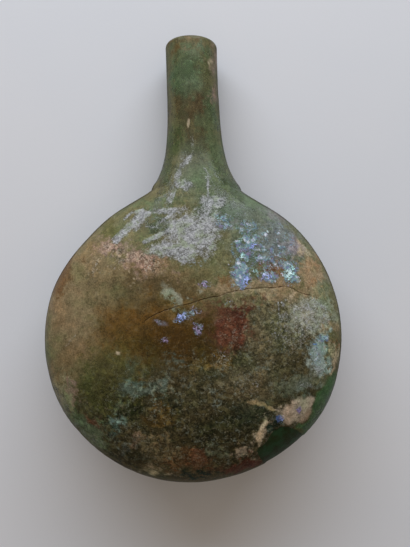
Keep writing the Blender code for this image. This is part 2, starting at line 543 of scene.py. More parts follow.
mathutils.noise.seed_set(NOISE_SEED)
places = points / MM
flat_places = places[:, :2]
coarse = wander_field(places, COARSE_WAVES, 1)
fine = wander_field(places, FINE_WAVES, 2)
finest = wander_field(places, FINEST_WAVES, 5)


def moved(far_coarse, far_fine, far_finest=0.0):
    """The places, wandered by that many millimetres at each of the three sizes."""
    return flat_places + (far_coarse * coarse + far_fine * fine + far_finest * finest)[:, :2]


wandered = moved(3.0, 2.6, 1.8)
drifted = moved(1.4, 1.2, 0.5)
nearly = moved(0.5, 0.6, 0.6)
far_off = 5.0 * wander_field(places, STRAY_WAVES, 8)
far_off += 4.0 * wander_field(places, FINE_STRAY_WAVES, 9)
strayed = flat_places + far_off[:, :2]
print("wander, mm:", np.round(np.abs(wandered - flat_places).mean(), 2))

# %% [markdown]
# Two shapes are enough for the map: a soft oval, and the distance to a chain of points,
# which serves for streaks, the crack and the outline of the scar.

# %% Soft ovals and lines
def oval(where, x, y, half_x, half_y, turn, softness=0.35):
    """1 inside a turned oval and 0 outside it, with a soft edge."""
    angle = math.radians(turn)
    dx, dy = where[:, 0] - x, where[:, 1] - y
    along_x = dx * math.cos(angle) - dy * math.sin(angle)
    along_y = dx * math.sin(angle) + dy * math.cos(angle)
    reach = np.hypot(along_x / half_x, along_y / half_y)
    return 1 - smooth_step(1 - softness, 1 + softness, reach)


def to_line(where, line):
    """Distance in millimetres to a chain of points, with a sign for the side."""
    best = np.full(len(where), 1e9)
    sign = np.ones(len(where))
    for start, end in zip(line, line[1:]):
        start, end = np.array(start, dtype=float), np.array(end, dtype=float)
        run = end - start
        share = np.clip(((where - start) @ run) / (run @ run), 0, 1)
        gap = where - (start + share[:, None] * run)
        far = np.hypot(gap[:, 0], gap[:, 1])
        side = np.sign(run[0] * gap[:, 1] - run[1] * gap[:, 0])
        nearer = far < best
        best = np.where(nearer, far, best)
        sign = np.where(nearer, side, sign)
    return best, sign


print("a point in an oval:", float(oval(np.zeros((1, 2)), 0, 0, 1, 1, 0)[0]))

# %% [markdown]
# ## The colours of the weathering
#
# Each colour is named for what it is and given the way an eye or a camera sees it, from 0
# to 255. The material needs the share of light that the surface throws back. So each is
# made linear, the faint gloss that lies over everything is taken off, and it is divided by
# how bright white would come out under the window light.

# %% Named colours
WHITE_COMES_OUT = 0.65
GLOSS = np.array([0.006, 0.006, 0.0065])
DARKEST, LIGHTEST = 0.004, 0.9


def seen(red, green, blue):
    """A colour as seen, turned into the share of light that the surface gives back."""
    value = np.array([red, green, blue]) / 255
    linear = np.where(value <= 0.04045, value / 12.92, ((value + 0.055) / 1.055) ** 2.4)
    return np.clip((linear - GLOSS) / WHITE_COMES_OUT, DARKEST, LIGHTEST)


AS_SEEN = {
    "grey green": (82, 90, 76), "sage": (90, 102, 80), "green": (70, 84, 58),
    "neck green": (74, 88, 64), "pale sage": (112, 110, 86), "slate": (94, 96, 102),
    "periwinkle": (130, 142, 190), "mauve": (132, 118, 146), "slate blue": (60, 74, 112),
    "bright green": (58, 82, 54), "moss green": (66, 74, 48), "olive": (84, 82, 58),
    "olive green": (72, 70, 40), "dark olive": (54, 56, 30), "olive tan": (101, 88, 64),
    "brown olive": (76, 65, 45), "tan": (114, 99, 76), "orange tan": (124, 108, 86),
    "orange": (116, 88, 62), "ochre": (108, 88, 58), "yellow tan": (132, 116, 88),
    "pink tan": (147, 136, 122), "pink brown": (122, 102, 92), "pale tan": (160, 146, 124),
    "brown": (80, 60, 30), "rim brown": (84, 64, 42), "umber": (58, 44, 24), "rust": (86, 60, 46),
    "rust brown": (104, 72, 48), "dark red": (76, 46, 37), "deep red": (58, 32, 27),
    "grey brown": (86, 80, 62), "grey blue": (104, 114, 112), "grey violet": (104, 98, 104),
    "pale grey": (128, 130, 116), "cyan grey": (130, 144, 142), "moss": (60, 56, 41),
    "teal": (92, 112, 106), "dark teal": (28, 44, 40), "black green": (30, 34, 22),
    "turquoise": (160, 206, 204), "lavender": (178, 176, 206), "violet": (104, 90, 150),
    "blue": (62, 92, 150), "white": (226, 228, 232),
}
COLOURS = {name: seen(*shade) for name, shade in AS_SEEN.items()}
print(len(COLOURS), "colours")

# %% [markdown]
# ## The map of the stains
#
# Each entry is one oval: the colour, its middle across and along the flask, its half sizes,
# how far it is turned clockwise, and how strong it is. They are painted in this order, each
# over those before it, so the big fields come first. The first table has those fields, and
# the neck with its brown band and lip.

# %% Stains: the big fields and the neck, in millimetres
STAINS = (
    ("moss", 2.3, -45.8, 43.7, 27.7, 0, 1.0), ("olive", 0.5, 42.8, 11.4, 28.6, 0, 1.0),
    ("green", 12.0, 15.1, 13.6, 8.0, 30, 0.8), ("grey green", 21.1, 5.8, 15.9, 10.4, 32, 0.9),
    ("olive tan", -30.2, -13.9, 17.4, 21.6, 0, 1.0), ("tan", -36.5, -18.8, 6.6, 12.1, 0, 0.7),
    ("brown olive", -10.2, -11.4, 13.0, 7.7, 0, 0.9), ("brown", -11.8, -22.5, 17.0, 9.4, -6, 0.9),
    ("umber", -4.2, -26.6, 11.7, 7.6, 0, 0.85), ("olive green", -24.9, -37.3, 10.0, 10.0, 10, 0.85),
    ("dark olive", -21.8, -42.0, 6.5, 4.7, 0, 0.6), ("olive tan", -38.2, -33.9, 4.5, 7.8, 0, 0.8),
    ("moss", 22.2, -29.0, 13.5, 11.8, 0, 0.9), ("grey brown", 23.5, -22.7, 8.9, 7.7, 0, 0.7),
    ("neck green", -3.0, 59.3, 4.5, 9.6, 0, 0.9), ("neck green", 4.7, 43.7, 2.9, 8.3, 0, 0.7),
    ("sage", 1.1, 65.2, 2.6, 2.2, 0, 0.6), ("sage", 0.5, 54.6, 2.6, 4.5, 0, 0.5),
    ("brown olive", -0.8, 68.5, 8.4, 1.9, 0, 0.6), ("brown olive", 0.5, 46.4, 2.9, 4.5, 0, 0.95),
    ("brown olive", -5.3, 47.9, 2.2, 5.8, 0, 0.6), ("brown olive", -2.6, 39.0, 1.6, 2.9, 0, 0.7),
    ("moss", 2.7, 59.4, 1.3, 2.2, 0, 0.5), ("brown", -5.7, 69.0, 2.3, 1.6, 0, 0.6),
    ("tan", -1.8, 69.1, 2.3, 1.0, 0, 0.7), ("brown", 1.1, 68.5, 1.6, 1.3, 0, 0.6),
    ("olive tan", 4.4, 67.8, 2.3, 1.3, 25, 0.7), ("pink brown", 7.0, 65.0, 1.0, 3.9, 0, 0.8),
    ("pink brown", 7.0, 51.5, 1.0, 2.9, 0, 0.8), ("moss green", -7.5, 31.0, 2.2, 10.9, 12, 0.8),
    ("neck green", 9.1, 28.6, 3.5, 10.8, -16, 0.7), ("grey green", -0.4, 26.4, 4.4, 10.6, 0, 0.5),
)
print(len(STAINS), "stains")

# %% [markdown]
# The shoulder and the upper half of the body: green shadows under the neck, a pink brown
# band on the left, tan and orange film on the right, and a deep red spot by the middle.

# %% Stains: the shoulder and the upper half
STAINS += (
    ("brown", -11.4, 26.7, 1.3, 1.0, 0, 0.7), ("brown", -11.4, 15.5, 1.9, 1.2, 0, 0.7),
    ("green", -10.2, 16.1, 7.4, 1.9, -12, 0.7), ("olive green", -26.5, 8.2, 10.6, 2.5, 47, 0.7),
    ("rim brown", -41.2, -6.7, 2.8, 7.5, 30, 0.9), ("olive tan", -18.5, 5.5, 3.0, 2.7, 0, 0.7),
    ("green", -10.6, 9.7, 3.7, 2.4, -25, 0.7), ("pink brown", -24.9, 1.5, 4.6, 2.7, 10, 0.9),
    ("pink brown", -18.3, -1.0, 5.1, 2.7, 30, 0.85),
    ("pink brown", -12.7, -3.4, 4.8, 3.3, 15, 0.95), ("tan", -30.2, -2.5, 2.7, 2.4, -20, 0.7),
    ("olive tan", -6.7, -5.5, 7.7, 2.7, 0, 0.6), ("pale grey", -7.2, -11.7, 2.7, 1.3, 10, 0.4),
    ("pale grey", -3.7, -13.5, 1.0, 1.8, 0, 0.7), ("olive", -21.5, -13.8, 7.7, 3.0, 0, 0.3),
    ("ochre", -3.6, -16.4, 6.5, 1.2, -12, 0.4), ("olive", 10.0, -1.3, 3.6, 7.8, 15, 0.6),
    ("rust brown", 10.0, -7.0, 1.8, 1.8, 0, 0.6), ("slate", 26.1, 4.3, 6.7, 6.1, 25, 0.6),
    ("grey violet", 30.5, 1.9, 2.5, 3.1, -20, 0.75), ("grey violet", 25.9, 12.9, 4.4, 2.2, 35, 0.6),
    ("grey violet", 14.4, 8.5, 3.7, 1.2, 0, 0.5), ("grey green", 19.1, 9.9, 4.3, 2.5, 0, 0.5),
    ("pale tan", 33.8, 1.3, 1.6, 3.1, -30, 0.45), ("rust brown", 24.8, -4.3, 3.3, 2.4, 0, 0.95),
    ("orange", 27.0, -4.6, 1.2, 1.8, 0, 0.6), ("orange tan", 36.9, -7.7, 4.3, 6.4, -15, 1.0),
    ("orange", 37.4, -9.8, 2.1, 1.8, 0, 0.7), ("orange", 36.9, -3.3, 2.2, 1.5, 0, 0.5),
    ("grey green", 40.5, -9.8, 1.5, 2.8, -10, 0.6), ("orange tan", 17.7, -9.4, 13.7, 1.8, -5, 0.85),
    ("orange tan", 23.7, -12.7, 10.1, 1.8, -2, 0.75),
    ("brown olive", 4.0, -12.9, 6.5, 1.5, -8, 0.6), ("rust", 5.8, -16.7, 5.3, 2.1, -6, 0.6),
    ("dark red", 11.6, -21.1, 5.6, 6.5, 0, 1.0), ("deep red", 13.4, -17.9, 2.6, 2.1, 20, 0.6),
    ("rust", 11.0, -22.5, 2.3, 3.5, 0, 0.4), ("rust", 19.7, -14.1, 1.2, 1.5, 0, 0.8),
    ("umber", 4.0, -22.5, 2.9, 4.1, 0, 0.6), ("grey brown", 29.0, -20.4, 7.1, 7.7, 0, 0.6),
    ("pale grey", 36.6, -18.8, 6.0, 4.8, -10, 0.85), ("pale tan", 29.2, -12.1, 1.2, 1.8, 0, 0.6),
)
print(len(STAINS), "stains")

# %% [markdown]
# The lower half is darker and more broken: grey-blue flakes on the right edge, nearly black
# silt at the bottom, and small rusty and greenish patches all along the lower left.

# %% Stains: the lower half and the rim
STAINS += (
    ("orange tan", 41.3, -22.9, 2.8, 2.1, -20, 0.7), ("brown olive", 36.8, -25.4, 3.0, 1.2, 0, 0.6),
    ("rust brown", 41.9, -28.4, 2.4, 0.9, 0, 0.7), ("pale tan", 42.6, -31.8, 1.5, 3.1, 15, 0.8),
    ("cyan grey", 37.4, -31.4, 3.0, 4.5, 0, 0.95), ("cyan grey", 39.8, -25.8, 2.4, 1.5, -25, 0.8),
    ("brown", 8.1, -30.6, 3.5, 2.9, 0, 0.6), ("ochre", 4.6, -32.9, 4.1, 1.2, -30, 0.5),
    ("grey brown", 16.9, -38.3, 9.4, 6.4, 0, 0.6), ("grey blue", 33.9, -40.2, 3.0, 1.8, 20, 0.6),
    ("olive", 39.1, -38.2, 3.0, 4.2, -20, 0.5), ("pink tan", 24.7, -46.9, 2.4, 0.9, 10, 0.8),
    ("pink tan", 19.4, -55.0, 1.5, 2.7, 12, 0.95), ("pink tan", 14.4, -57.7, 1.8, 1.3, -10, 0.8),
    ("pink tan", 18.1, -61.0, 1.5, 0.9, 0, 0.6), ("dark red", 15.2, -64.4, 6.6, 2.4, -16, 1.0),
    ("deep red", 13.7, -65.0, 3.9, 1.8, -10, 0.8), ("rust", 1.6, -61.3, 3.3, 4.2, 10, 1.0),
    ("grey green", 8.7, -58.1, 3.0, 2.1, 0, 0.8), ("dark teal", 2.8, -67.5, 6.7, 1.2, 0, 1.0),
    ("black green", 8.7, -51.8, 8.8, 5.9, 0, 0.4), ("rust brown", -0.4, -60.3, 6.5, 3.3, 0, 0.3),
    ("dark teal", 16.9, -47.5, 4.7, 4.1, 0, 0.4), ("dark teal", 24.2, -52.1, 2.7, 1.5, -20, 0.9),
    ("grey green", 32.0, -39.1, 6.5, 2.7, -10, 0.6), ("teal", -17.9, -39.5, 3.2, 2.3, 0, 0.65),
    ("teal", -10.9, -40.2, 3.8, 2.0, 0, 0.45), ("black green", -13.8, -41.7, 2.0, 1.5, 20, 0.6),
    ("pale grey", -7.6, -39.6, 1.2, 0.9, 0, 0.6), ("sage", -21.6, -43.1, 1.8, 1.5, -30, 0.7),
    ("teal", -23.2, -49.9, 3.3, 2.4, 0, 0.9), ("black green", -23.9, -51.5, 2.4, 1.2, 0, 0.7),
    ("black green", -19.2, -46.6, 3.2, 2.3, 0, 0.8), ("black green", -7.1, -45.2, 3.5, 2.3, 0, 0.5),
    ("rust", -30.1, -50.8, 1.8, 1.2, 0, 0.9), ("pale sage", -39.0, -44.5, 2.7, 6.7, -20, 0.95),
    ("green", -36.3, -50.1, 2.4, 3.7, -35, 0.8), ("sage", -31.1, -54.5, 6.1, 3.0, 40, 0.9),
    ("pale grey", -28.0, -56.5, 1.8, 1.2, 0, 0.5), ("pink brown", -14.9, -55.4, 2.1, 1.5, 0, 0.5),
    ("brown", -10.0, -48.8, 5.3, 2.9, 0, 0.5), ("tan", -12.5, -55.0, 2.7, 1.8, 0, 0.4),
    ("grey brown", -10.2, -59.7, 4.4, 2.7, 0, 0.8),
    ("black green", -18.1, -60.1, 4.2, 2.4, 25, 0.6), ("grey blue", -19.5, -57.9, 1.5, 1.5, 0, 0.4),
    ("rust brown", -6.7, -63.4, 3.3, 1.5, 5, 0.7), ("pale tan", -12.6, -65.9, 1.8, 0.9, 15, 0.6),
    ("grey brown", -0.8, -64.8, 14.4, 1.8, 0, 0.5), ("pink brown", -36.0, -41.6, 1.5, 2.7, 0, 0.8),
    ("pale tan", -26.1, -44.5, 0.7, 0.5, 0, 0.6), ("pale tan", -16.5, -7.6, 0.6, 0.4, 0, 0.8),
    ("grey green", -18.0, -33.6, 1.5, 2.6, 0, 0.5), ("teal", -4.2, -32.0, 2.3, 1.2, 0, 0.35),
)
print(len(STAINS), "stains")

# %% [markdown]
# ## Plaques
#
# Some patches have crisp edges, because they are flakes that still stick, or places where
# one fell off: the pale scales beside the scar, the strip of bare green glass there, a few
# light chips on the neck. They are entered like the stains.

# %% Plaques
PLAQUES = (
    ("bright green", 40.3, -45.5, 3.7, 9.8, 25, 1.0),
    ("bright green", 35.8, -53.7, 2.8, 4.6, 48, 1.0),
    ("bright green", 33.5, -52.6, 2.4, 1.5, 0, 1.0),
    ("olive green", 31.3, -54.0, 2.7, 1.5, 20, 0.7), ("pink tan", 32.1, -46.8, 3.9, 3.6, 0, 1.0),
    ("pink tan", 28.7, -48.1, 2.4, 3.0, -20, 1.0), ("pink tan", 34.3, -44.5, 2.4, 1.5, 0, 1.0),
    ("orange tan", 34.8, -47.8, 1.2, 1.2, 0, 0.4), ("yellow tan", 19.3, -44.3, 2.6, 0.9, 18, 0.9),
    ("yellow tan", 22.3, -45.9, 1.8, 0.8, 30, 0.8), ("pale tan", 19.7, -54.1, 1.1, 2.7, 12, 0.9),
    ("pale tan", 21.1, -51.0, 0.9, 0.9, 0, 0.5), ("pink tan", 14.7, -58.0, 1.5, 1.0, -10, 0.7),
    ("dark red", 15.5, -64.1, 5.1, 1.7, -16, 0.9), ("deep red", 17.3, -63.1, 2.4, 1.1, -20, 0.6),
    ("rust", 1.9, -60.9, 2.1, 3.3, 10, 0.7), ("pale tan", -1.7, 41.9, 0.5, 1.6, 8, 1.0),
    ("pale tan", -21.9, -29.6, 0.9, 0.7, -20, 0.9), ("pale tan", 5.7, 62.8, 0.6, 0.6, 0, 0.8),
    ("pale tan", 5.7, 53.3, 0.6, 0.5, 0, 0.8), ("pale grey", -6.9, -11.7, 2.4, 0.9, 6, 0.5),
    ("pale grey", -3.7, -13.5, 0.9, 1.5, -30, 0.6), ("grey violet", -9.5, -20.5, 2.1, 0.6, 8, 0.6),
    ("cyan grey", 37.8, -30.8, 2.1, 3.6, 0, 0.7), ("rust", 23.9, -3.7, 1.8, 1.5, 0, 0.7),
    ("rust", -30.5, -50.5, 1.5, 0.9, 0, 0.8), ("pale tan", -12.0, -66.3, 1.4, 0.8, 10, 0.8),
    ("pale tan", -7.4, -66.4, 1.5, 0.5, 0, 0.6),
)
print(len(PLAQUES), "plaques")

# %% [markdown]
# ## Glints
#
# These are single splinters of thin film, mostly in the glittering field at the upper right.
# Their bright colours are painted highlights: each has the colour that it shines in.

# %% Glints
# painted highlights: bright splinters in the colour each shines in
GLINTS = (
    ("turquoise", 8.3, 11.0, 1.1, 0.9, 0, 0.7), ("lavender", 10.4, 7.8, 0.9, 0.9, 0, 0.7),
    ("white", 23.0, 6.4, 0.5, 0.5, 0, 1.0), ("turquoise", 23.7, 7.1, 1.2, 1.2, 0, 0.5),
    ("turquoise", 16.3, 9.8, 0.9, 1.2, 0, 0.5), ("turquoise", 14.6, 4.2, 1.1, 0.9, 0, 0.7),
    ("turquoise", 16.8, 5.7, 0.6, 0.6, 0, 0.7), ("periwinkle", 18.5, 2.0, 1.0, 1.5, 0, 0.9),
    ("turquoise", 15.1, -0.4, 0.7, 1.4, 15, 1.0), ("white", 15.1, -1.0, 0.4, 0.8, 15, 0.8),
    ("lavender", 20.0, -1.6, 1.2, 1.1, 0, 0.6), ("blue", 22.7, -2.2, 1.2, 0.9, 0, 0.5),
    ("turquoise", 13.6, -2.8, 0.9, 0.9, 0, 0.5), ("turquoise", 12.6, -5.8, 0.9, 0.9, 0, 0.5),
    ("periwinkle", 15.6, -7.6, 1.2, 2.1, 10, 0.95), ("violet", 14.7, -9.4, 0.9, 0.9, 0, 0.8),
    ("turquoise", 19.0, -4.6, 1.0, 1.2, 0, 0.7), ("periwinkle", 22.0, -6.7, 1.5, 1.2, 0, 0.95),
    ("white", 21.7, -6.1, 0.6, 0.5, 0, 0.7), ("turquoise", 29.4, -6.4, 1.5, 2.0, 40, 0.95),
    ("white", 29.1, -5.8, 0.8, 0.8, 0, 0.9), ("turquoise", 30.5, -4.6, 0.9, 0.9, 0, 0.9),
    ("lavender", 28.7, -8.8, 0.9, 0.8, 0, 0.7), ("grey blue", 29.6, -2.5, 1.8, 1.2, 0, 0.6),
    ("periwinkle", -3.0, -19.0, 1.9, 1.1, -20, 1.0), ("grey blue", -0.4, -18.1, 1.2, 0.9, 0, 0.7),
    ("mauve", -10.1, -20.5, 1.8, 0.7, 10, 0.6), ("mauve", -8.0, -25.7, 1.3, 1.5, 20, 0.75),
    ("mauve", 1.7, -22.2, 1.3, 1.9, 0, 0.85), ("lavender", 1.7, -16.7, 1.5, 1.2, 0, 0.7),
    ("mauve", 3.4, -9.1, 1.8, 0.9, -5, 0.8), ("lavender", 11.4, -14.7, 1.2, 1.2, 0, 0.5),
    ("violet", 31.5, -47.1, 1.1, 1.1, 0, 1.0), ("lavender", 31.5, -47.1, 0.4, 0.4, 0, 0.9),
    ("slate blue", 25.1, -49.7, 0.8, 1.5, 10, 1.0), ("periwinkle", 26.6, -49.5, 0.7, 1.3, 10, 0.8),
    ("turquoise", 40.1, -25.5, 1.2, 0.9, -20, 0.8), ("blue", 36.5, -27.5, 1.2, 0.5, 0, 0.8),
    ("turquoise", 36.8, -31.4, 1.5, 2.7, 0, 0.35), ("lavender", -0.2, -1.9, 1.5, 1.2, 0, 0.4),
    ("lavender", 8.1, -30.0, 1.8, 0.9, 0, 0.3), ("turquoise", 27.0, -14.8, 0.6, 0.9, 0, 0.5),
)
print(len(GLINTS), "glints")

# %% [markdown]
# ## Where the surface is milky or glitters
#
# From here on the entries have no colour: only a place, a size, a turn and how much there
# is. Milk is the pale grey film below the neck; part of its whiteness there is a painted
# highlight of the window. Sparks are the fields where glitter can show between the single
# glints.

# %% Milk and sparks
# milky film; part of its whiteness below the neck is painted highlight of the window
MILK_AND_HIGHLIGHT = (
    (-0.2, 6.6, 9.1, 6.0, 10, 1.0), (-5.6, 1.4, 8.7, 3.6, 5, 0.95), (4.6, 9.7, 5.5, 6.1, 0, 0.85),
    (5.9, 16.3, 4.6, 2.2, 0, 0.95), (3.1, 2.6, 4.8, 4.2, 0, 0.8), (-7.6, 13.8, 6.7, 1.1, 0, 0.8),
    (-2.2, 21.8, 1.9, 1.6, 0, 0.8), (-2.6, 29.8, 1.6, 2.8, 15, 0.8),
    (-0.4, 35.7, 0.9, 2.8, 0, 0.35), (-4.7, 23.2, 1.2, 4.4, 20, 0.8),
    (-6.8, 17.7, 1.2, 2.8, 10, 0.8), (5.3, 21.2, 2.2, 5.0, -20, 0.45),
    (-11.6, 1.1, 4.5, 2.1, 0, 0.55), (-16.9, 10.5, 5.2, 1.8, -40, 0.85),
    (-21.7, 5.5, 3.1, 1.5, -45, 0.65), (-6.0, -12.6, 2.9, 1.8, 0, 0.3),
    (-18.8, -33.6, 1.2, 2.3, 0, 0.3), (37.8, -31.4, 2.4, 4.2, 0, 0.6),
    (39.8, -25.8, 1.8, 1.2, 0, 0.4), (29.1, -15.4, 1.5, 6.0, 0, 0.3),
    (36.0, -18.8, 6.6, 5.4, 0, 0.58), (29.0, -22.8, 6.5, 7.1, 0, 0.42),
    (19.0, 8.9, 7.4, 4.3, 20, 0.22), (-23.1, -4.3, 3.6, 1.5, 0, 0.3),
    (-24.6, 1.2, 2.4, 1.5, 0, 0.22), (-12.7, -4.3, 2.4, 1.5, 0, 0.3),
    (15.1, -38.5, 4.7, 4.1, 0, 0.3), (33.9, -40.2, 2.7, 1.5, 20, 0.4),
    (3.4, 62.2, 3.9, 6.4, 0, 0.15), (-30.0, -4.9, 1.2, 2.7, 15, 0.35),
)
SPARKS = (
    (16.1, 2.3, 3.9, 5.4, 20, 0.8), (14.5, -4.9, 3.6, 6.0, 10, 0.9),
    (22.8, -0.7, 7.9, 6.0, 0, 0.58), (29.4, -5.8, 3.0, 3.9, 0, 0.9), (9.5, 9.7, 3.3, 3.3, 0, 0.6),
    (18.0, 7.3, 7.9, 3.7, 25, 0.52), (22.6, -6.7, 3.6, 2.4, 0, 0.7),
    (28.1, 5.6, 5.6, 4.9, 40, 0.45), (-2.4, -18.7, 2.9, 1.5, -15, 0.8),
    (-9.5, -20.5, 2.3, 0.9, 0, 0.5), (-8.0, -25.7, 1.5, 1.5, 0, 0.6),
    (1.7, -21.9, 1.5, 2.0, 0, 0.7), (4.0, -9.1, 2.7, 1.2, 0, 0.6), (11.1, -15.0, 2.4, 1.5, 0, 0.4),
    (25.7, -49.4, 1.2, 1.5, 0, 0.8), (37.4, -30.2, 2.7, 4.8, 0, 0.45),
    (39.8, -25.8, 2.4, 1.5, 0, 0.8), (-12.3, -40.0, 6.4, 2.0, 0, 0.12),
    (-22.6, -49.8, 2.4, 1.5, 0, 0.35), (1.0, -2.5, 4.8, 2.1, 0, 0.35),
    (8.1, -29.7, 2.9, 1.8, 0, 0.35), (1.1, -17.0, 2.3, 1.2, 0, 0.6),
)
print(len(MILK_AND_HIGHLIGHT), "milky places,", len(SPARKS), "with sparks")

# %% [markdown]
# ## Where it is crusty, clear or speckled
#
# Crust is the rough brown growth of the lower half. Clear says where the film is so thin
# that the glass shows through, as on the neck. Specks are chalky grains.

# %% Crust, clear places and specks
CRUSTS = (
    (3.7, -50.3, 38.0, 16.1, 0, 1.0), (22.9, -27.0, 14.7, 14.1, 0, 0.9),
    (9.5, -37.0, 14.6, 11.7, 0, 0.8), (36.8, -29.0, 8.4, 18.0, 0, 0.6),
    (-22.0, -0.1, 7.3, 2.7, 20, 0.8), (-12.7, -3.7, 4.2, 2.7, 10, 0.9),
    (-30.0, -4.3, 2.4, 3.6, 0, 0.5), (20.9, -0.4, 14.5, 12.1, 0, 0.45),
    (-16.8, -47.5, 14.7, 10.0, 20, 0.8), (12.8, -21.4, 5.3, 5.9, 0, 0.7),
    (-0.7, -31.8, 5.8, 2.9, 0, 0.4), (0.6, 16.6, 9.2, 9.2, 0, 0.3),
)
CLEAR = (
    (-0.1, 49.3, 8.3, 19.1, 0, 0.45), (39.4, -47.3, 2.5, 8.0, 30, 0.3),
    (-40.3, -45.5, 1.8, 4.9, -20, 0.4), (-9.0, 24.3, 2.9, 9.5, 15, 0.5),
    (11.0, 23.6, 3.8, 10.1, -20, 0.5), (-25.5, -37.3, 8.8, 8.8, 0, 0.45),
    (-30.6, -19.8, 11.9, 14.9, 0, 0.2), (-12.4, -20.2, 17.6, 11.7, 0, 0.2),
    (-10.6, 9.7, 3.7, 2.4, -25, 0.6), (-31.1, -54.5, 5.4, 2.4, 40, 0.3),
    (12.0, 15.1, 9.2, 3.7, 30, 0.4),
)
SPECKS = (
    (-24.9, 1.5, 4.9, 3.0, 10, 0.75), (-17.9, -1.3, 6.0, 3.3, 28, 0.7),
    (-12.1, -3.7, 4.5, 3.3, 10, 0.75), (-30.0, -4.9, 2.1, 3.3, 20, 0.65),
    (21.5, -52.9, 2.4, 4.1, 10, 0.5), (-12.5, -56.6, 9.4, 4.1, 0, 0.3),
    (-6.8, -66.4, 6.6, 1.2, 5, 0.6), (3.7, -50.3, 29.2, 14.6, 0, 0.2),
    (-39.6, -34.0, 3.3, 7.3, 0, 0.4), (8.7, -30.0, 2.6, 1.8, 0, 0.8),
    (32.7, -25.8, 7.2, 10.1, 0, 0.5), (20.4, -35.7, 12.3, 7.6, 0, 0.42),
    (-2.3, 29.8, 2.2, 6.3, 15, 0.6), (-4.0, 21.2, 2.5, 4.7, 20, 0.6), (5.9, 16.7, 4.6, 2.5, 0, 0.6),
    (4.7, 58.1, 1.6, 8.4, 0, 0.45), (-5.7, 63.0, 1.6, 6.5, 0, 0.35),
    (21.0, 1.1, 10.9, 10.3, 0, 0.45), (-21.9, -29.6, 2.4, 1.2, 0, 0.5),
    (-0.7, -19.6, 8.8, 4.7, -10, 0.4), (15.6, -12.6, 11.8, 3.6, 0, 0.35),
    (12.8, -21.4, 4.7, 5.3, 0, 0.5), (15.2, -64.0, 5.4, 2.1, -16, 0.5),
    (1.6, -61.3, 3.0, 3.6, 0, 0.5),
)
print(len(CRUSTS), "crusts,", len(CLEAR), "clear places,", len(SPECKS), "with specks")

# %% [markdown]
# ## Lines
#
# A streak of milk has a half width, a strength and its points; the bright streak at the
# upper left is partly a painted reflection of the window. The crack runs across the body
# just above its middle. The scar is a closed outline: there a flake of the old skin came
# off at the chipped edge, and clean dark glass lies bare.

# %% Streaks, the crack and the scar
# the bright streak at the upper left is partly a painted reflection of the window
MILK_AND_HIGHLIGHT_STREAKS = (
    (1.05, 1.15, ((-13.8, 12.3), (-17.2, 10.5), (-20.2, 7.4), (-23.5, 4.0))),
    (0.5, 0.9, ((-21.1, 10.9), (-19.0, 12.8), (-15.4, 13.7))),
    (0.37, 0.8, ((-20.0, 9.3), (-22.4, 6.8), (-24.8, 4.3))),
    (0.79, 1.15, ((-2.1, 11.6), (-5.1, 9.4), (-8.1, 6.9), (-11.1, 5.4), (-14.7, 3.9))),
    (0.55, 1.0, ((-5.2, 13.1), (-8.2, 11.0), (-10.9, 8.8))),
    (0.37, 0.7, ((-14.3, 8.5), (-12.4, 8.2), (-10.0, 8.2))),
    (0.5, 0.85, ((4.6, 23.8), (4.3, 20.5), (4.3, 16.6))),
    (0.44, 0.6, ((3.4, 27.1), (5.0, 24.9), (6.5, 20.9))),
    (0.36, 0.6, ((25.5, -13.9), (25.7, -16.8), (26.3, -19.8))),
    (0.42, 0.7, ((26.7, -14.5), (27.3, -15.7))),
    (0.39, 0.5, ((-35.0, -24.1), (-38.3, -27.9))),
)
CRACK = (
    (-13.6, -19.6), (-10.7, -17.9), (-8.0, -16.7), (-3.6, -15.5), (-0.4, -14.8), (2.8, -13.6),
    (7.5, -12.6), (12.3, -11.3), (15.9, -10.6), (19.5, -10.3), (23.7, -10.1), (28.0, -9.9),
    (30.5, -10.6), (32.7, -11.7), (35.3, -12.5),
)
SCAR = (
    (21.9, -64.4), (20.7, -62.3), (19.9, -60.6), (19.4, -59.2), (19.9, -58.0), (21.2, -57.1),
    (22.4, -55.9), (23.2, -54.1), (24.4, -52.6), (26.4, -51.7), (28.9, -51.9), (31.2, -53.1),
    (33.3, -55.0), (36.2, -58.9), (34.3, -60.8), (31.7, -63.4), (28.8, -65.6), (25.9, -67.2),
)
print(len(MILK_AND_HIGHLIGHT_STREAKS), "streaks; points of crack and scar:", len(CRACK), len(SCAR))

# %% [markdown]
# ## Where a point is
#
# The patches become numbers on the points of the mesh, which the relief and the material
# both read. First comes what kind of place each point is: on the side that shows or
# underneath, on the steep edge, on the lip, or on the thin dark line round the flask. The
# steep edge and the lip get painted shade, and the thin line round the flask is painted
# shade along the outline. The underside can't be seen in the picture, so it gets a quieter
# weathering of the same kind, ruled by noise alone.

# %% Top, edge, lip and rim
TOP_FADES = (-2.5, 1.5)
cloud = noise_field(places, 14.0, 3)
patch = noise_field(places, 5.0, 4)
height = own[:, 2] / MM
top = smooth_step(*TOP_FADES, height + 1.5 * patch)
upward = np.array([normal.vector.z for normal in flask_mesh.vertex_normals])
edge = (1 - smooth_step(0.2, 0.7, upward)) * smooth_step(-1.2, -0.4, upward)
lip = smooth_step(NECK_TOP - 0.5 * MM, NECK_TOP + 0.5 * MM, own[:, 1])
# rim: painted shade, a thin dark line along the outline of the flask
rim = (1 - smooth_step(0.26, 0.50, upward)) * smooth_step(-0.7, -0.1, upward)
rim *= smooth_step(-1.2, 0.1, patch) * (1 - lip) * (1 - 0.6 * neck_share(own[:, 1]))
rim *= 1 - np.clip(inside, 0, 1)
print("share of the points on top:", round(float(top.mean()), 2))

# %% [markdown]
# ## Stains on the points
#
# Stains are laid one over the other like thin washes of paint. The whole map is looked up
# twice, at the wandered and at the strayed places. The material later swaps between the
# two in specks finer than the mesh, which frays the borders even more. Steep edges and the
# lip are a little darker: that is painted shade, put into their colour.

# %% Paint the stains
PLAQUE_SOFTNESS = 0.18
EDGE_PAINTED_SHADE = 0.20


